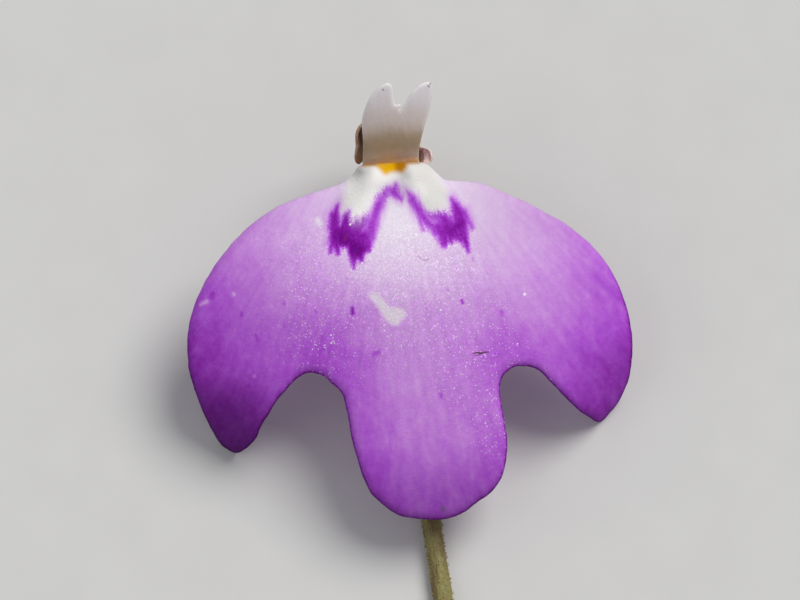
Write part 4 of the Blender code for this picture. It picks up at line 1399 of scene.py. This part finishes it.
# %% Skins of the green and brown pieces
def skin_finish(name, pale, deep, tint, tint_from, tint_to, grain_scale, along=1, low_tint=None):
    """A mottled skin whose tint comes in along X, Y or Z (along = 0, 1 or 2).

    low_tint is the colour of the low left end of the calyx, near the mouth.
    """
    finish = Finish(name, {"Roughness": 0.55, "Subsurface Weight": 0.08, "Subsurface Scale": 0.0003,
                           "Specular IOR Level": 0.35})
    spot = place_in_mm(finish)
    way = parts(spot)[along]
    streaks = clouds(stretched(spot, 3.5, 0.8, 3.5), 1.0, 4.0)
    distance, draw = cells(stretched(spot, 1.0, 0.45, 1.0), grain_scale)
    colour = mix(soft_step(streaks, 0.35, 0.65), pale, deep)
    colour = mix(soft_step(draw, 0.7, 1.0) * 0.35, colour, tint)
    colour = mix(soft_step(way + 0.8 * (streaks - 0.5), tint_from, tint_to) * 0.8, colour, tint)
    if low_tint:
        low_end = soft_step(parts(spot)[1], 0.75, 0.25) * soft_step(way, -0.5, -0.8)
        colour = mix(low_end * 0.7, colour, low_tint)
    finish.show(Base_Color=colour, Roughness=0.5 + 0.2 * draw,
                Normal=bump(soft_step(distance, 0.8, 0.0), 0.5, 0.00004))
    return finish


# The pale pink tint along X, on the curled right corner, is partly the lobe's own tone and partly
# painted light from the right.
calyx_finish = skin_finish("calyx_finish", (0.42, 0.29, 0.17), (0.30, 0.19, 0.105),
                           (0.95, 0.76, 0.70), 0.95, 1.12, 14.0, along=0, low_tint=(0.62, 0.38, 0.12))
calyx_finish.dress(calyx_upper, calyx_lower)
stalk_finish = skin_finish("stalk_finish", (0.25, 0.23, 0.075), (0.17, 0.13, 0.045),
                           (0.26, 0.12, 0.08), 1.0, 5.5, 13.0)
stalk_finish.dress(pedicel, scape)
peg_finish = skin_finish("papilla_finish", (0.40, 0.37, 0.16), (0.27, 0.22, 0.09),
                         (0.38, 0.22, 0.15), 1.0, 5.5, 20.0)
peg_finish.dress(pedicel_pegs, scape_pegs)
bract_finish = skin_finish("bract_finish", (0.24, 0.25, 0.08), (0.15, 0.13, 0.05),
                           (0.30, 0.16, 0.11), -2.2, -1.2, 14.0)
bract_finish.dress(*bracts)
ovary_finish = skin_finish("ovary_finish", (0.36, 0.42, 0.15), (0.26, 0.33, 0.10),
                           (0.55, 0.48, 0.25), 0.25, 0.35, 18.0)
ovary_finish.dress(pistil)
anther_finish = skin_finish("anther_finish", (0.78, 0.60, 0.22), (0.66, 0.45, 0.12),
                            (0.80, 0.74, 0.60), 0.12, 0.25, 22.0)
anther_finish.dress(*stamens)

# %% [markdown]
# ## Stray hairs
#
# Two tiny dark hairs lie on the face of the lower lip, and the darker one has a side branch.
# They are easy to see in a close look. Each is a thin bent rod laid just over the petal.

# %% Stray hairs on the lip
FINE_HAIR = [(0.54, -2.93), (0.60, -3.03), (0.70, -3.09), (0.82, -3.10), (0.91, -3.08)]
DARK_HAIR = [(1.93, -6.20), (2.08, -6.18), (2.20, -6.21), (2.32, -6.19), (2.46, -6.21)]
HAIR_BRANCH = [(1.97, -6.27), (2.04, -6.27), (2.11, -6.26), (2.18, -6.24), (2.24, -6.22)]


def on_lip(x, y):
    """The height of the lip's face at one point."""
    x, y = np.array([x]), np.array([y])
    return float((lip_sheet(x, y) + palate(x, y) + lip_relief(x, y))[0])


HAIR_TAPER = 0.35           # thickness of a hair's ends, as a part of its middle
hairs = []
for name, line, radius in (
        ("fine_stray_hair", FINE_HAIR, 0.006),
        ("dark_stray_hair", DARK_HAIR, 0.016),
        ("branch_of_dark_hair", HAIR_BRANCH, 0.007)):
    stations = [(x, y, on_lip(x, y) + radius, radius * (HAIR_TAPER if i in (0, len(line) - 1) else 1.0))
                for i, (x, y) in enumerate(line)]
    hairs.append(add_piece(name, *sleeve(rod(stations, 8)), [], "petal_purple"))
hair_finish = skin_finish("hair_finish", (0.16, 0.02, 0.06), (0.08, 0.01, 0.03), (0.16, 0.04, 0.04),
                          0.0, 1.0, 20.0)
hair_finish.dress(*hairs)

# %% [markdown]
# ## The floor, the light and the camera
#
# The floor is a plain pale sheet. The photo was taken in soft light that comes from above
# right, so the studio has one broad lamp there, a weak one from the left and a pale sky.

# %% The floor
FLOOR_HALF = 150.0
FLOOR_DROP = 0.01           # how far the floor lies under zero
floor_mesh = bpy.data.meshes.new("floor")
floor_signs = ((-1, -1), (1, -1), (1, 1), (-1, 1))
floor_corners = [(a * FLOOR_HALF * MM, b * FLOOR_HALF * MM, 0) for a, b in floor_signs]
floor_mesh.from_pydata(floor_corners, [], [(0, 1, 2, 3)])
floor = bpy.data.objects.new("floor", floor_mesh)
bpy.context.scene.collection.objects.link(floor)
floor.location.z = -FLOOR_DROP * MM
floor_finish = Finish("floor_finish", {"Roughness": 0.8, "Specular IOR Level": 0.2})
paper = clouds(place_in_mm(floor_finish), 0.5, 3.0)
floor_finish.show(Base_Color=mix(paper, (0.60, 0.60, 0.59), (0.64, 0.64, 0.63)))
floor_finish.dress(floor)

# %% Light
def add_sun(name, direction, strength, spread, colour):
    """A far soft lamp that shines from a direction."""
    lamp = bpy.data.lights.new(name, "SUN")
    lamp.energy = strength
    lamp.angle = radians(spread)
    lamp.color = colour
    sun = bpy.data.objects.new(name, lamp)
    sun.rotation_euler = Vector(direction).to_track_quat("Z", "Y").to_euler()
    bpy.context.scene.collection.objects.link(sun)
    return sun


add_sun("key_lamp", (0.60, 0.42, 1.0), 2.25, 35.0, (1.0, 0.985, 0.96))
add_sun("fill_lamp", (-0.7, 0.0, 0.8), 0.32, 60.0, (0.95, 0.97, 1.0))
world = bpy.data.worlds.new("studio")
world.use_nodes = True
sky = world.node_tree.nodes["Background"]
sky.inputs["Color"].default_value = (0.95, 0.96, 1.0, 1.0)
sky.inputs["Strength"].default_value = 0.34
bpy.context.scene.world = world
bpy.context.scene.view_settings.view_transform = "Standard"

# %% [markdown]
# The camera looks straight into the bloom's face, as in the photo, so once the flower lies
# down it looks down on it. Its frame is 25.3 mm wide at the flower, and the flower leans a
# little to the right in it.

# %% Camera
FRAME_WIDTH = 25.28
CAMERA_DISTANCE = 230.0
SENSOR = 36.0
ROLL = radians(6.14)
AIM_X = -0.174
AIM_Y = -4.27

lens = bpy.data.cameras.new("camera")
lens.sensor_width = SENSOR
lens.lens = SENSOR * CAMERA_DISTANCE / FRAME_WIDTH
lens.clip_start = 0.01
camera = bpy.data.objects.new("camera", lens)
bpy.context.scene.collection.objects.link(camera)
tilt = Matrix.Rotation(TILT, 4, "X")
bloom_frame = Matrix.Translation((0, BLOOM_Y * MM, BLOOM_HEIGHT * MM)) @ tilt
aim = Matrix.Translation((AIM_X * MM, AIM_Y * MM, CAMERA_DISTANCE * MM))
camera.matrix_world = bloom_frame @ aim @ Matrix.Rotation(-ROLL, 4, "Z")
bpy.context.scene.camera = camera
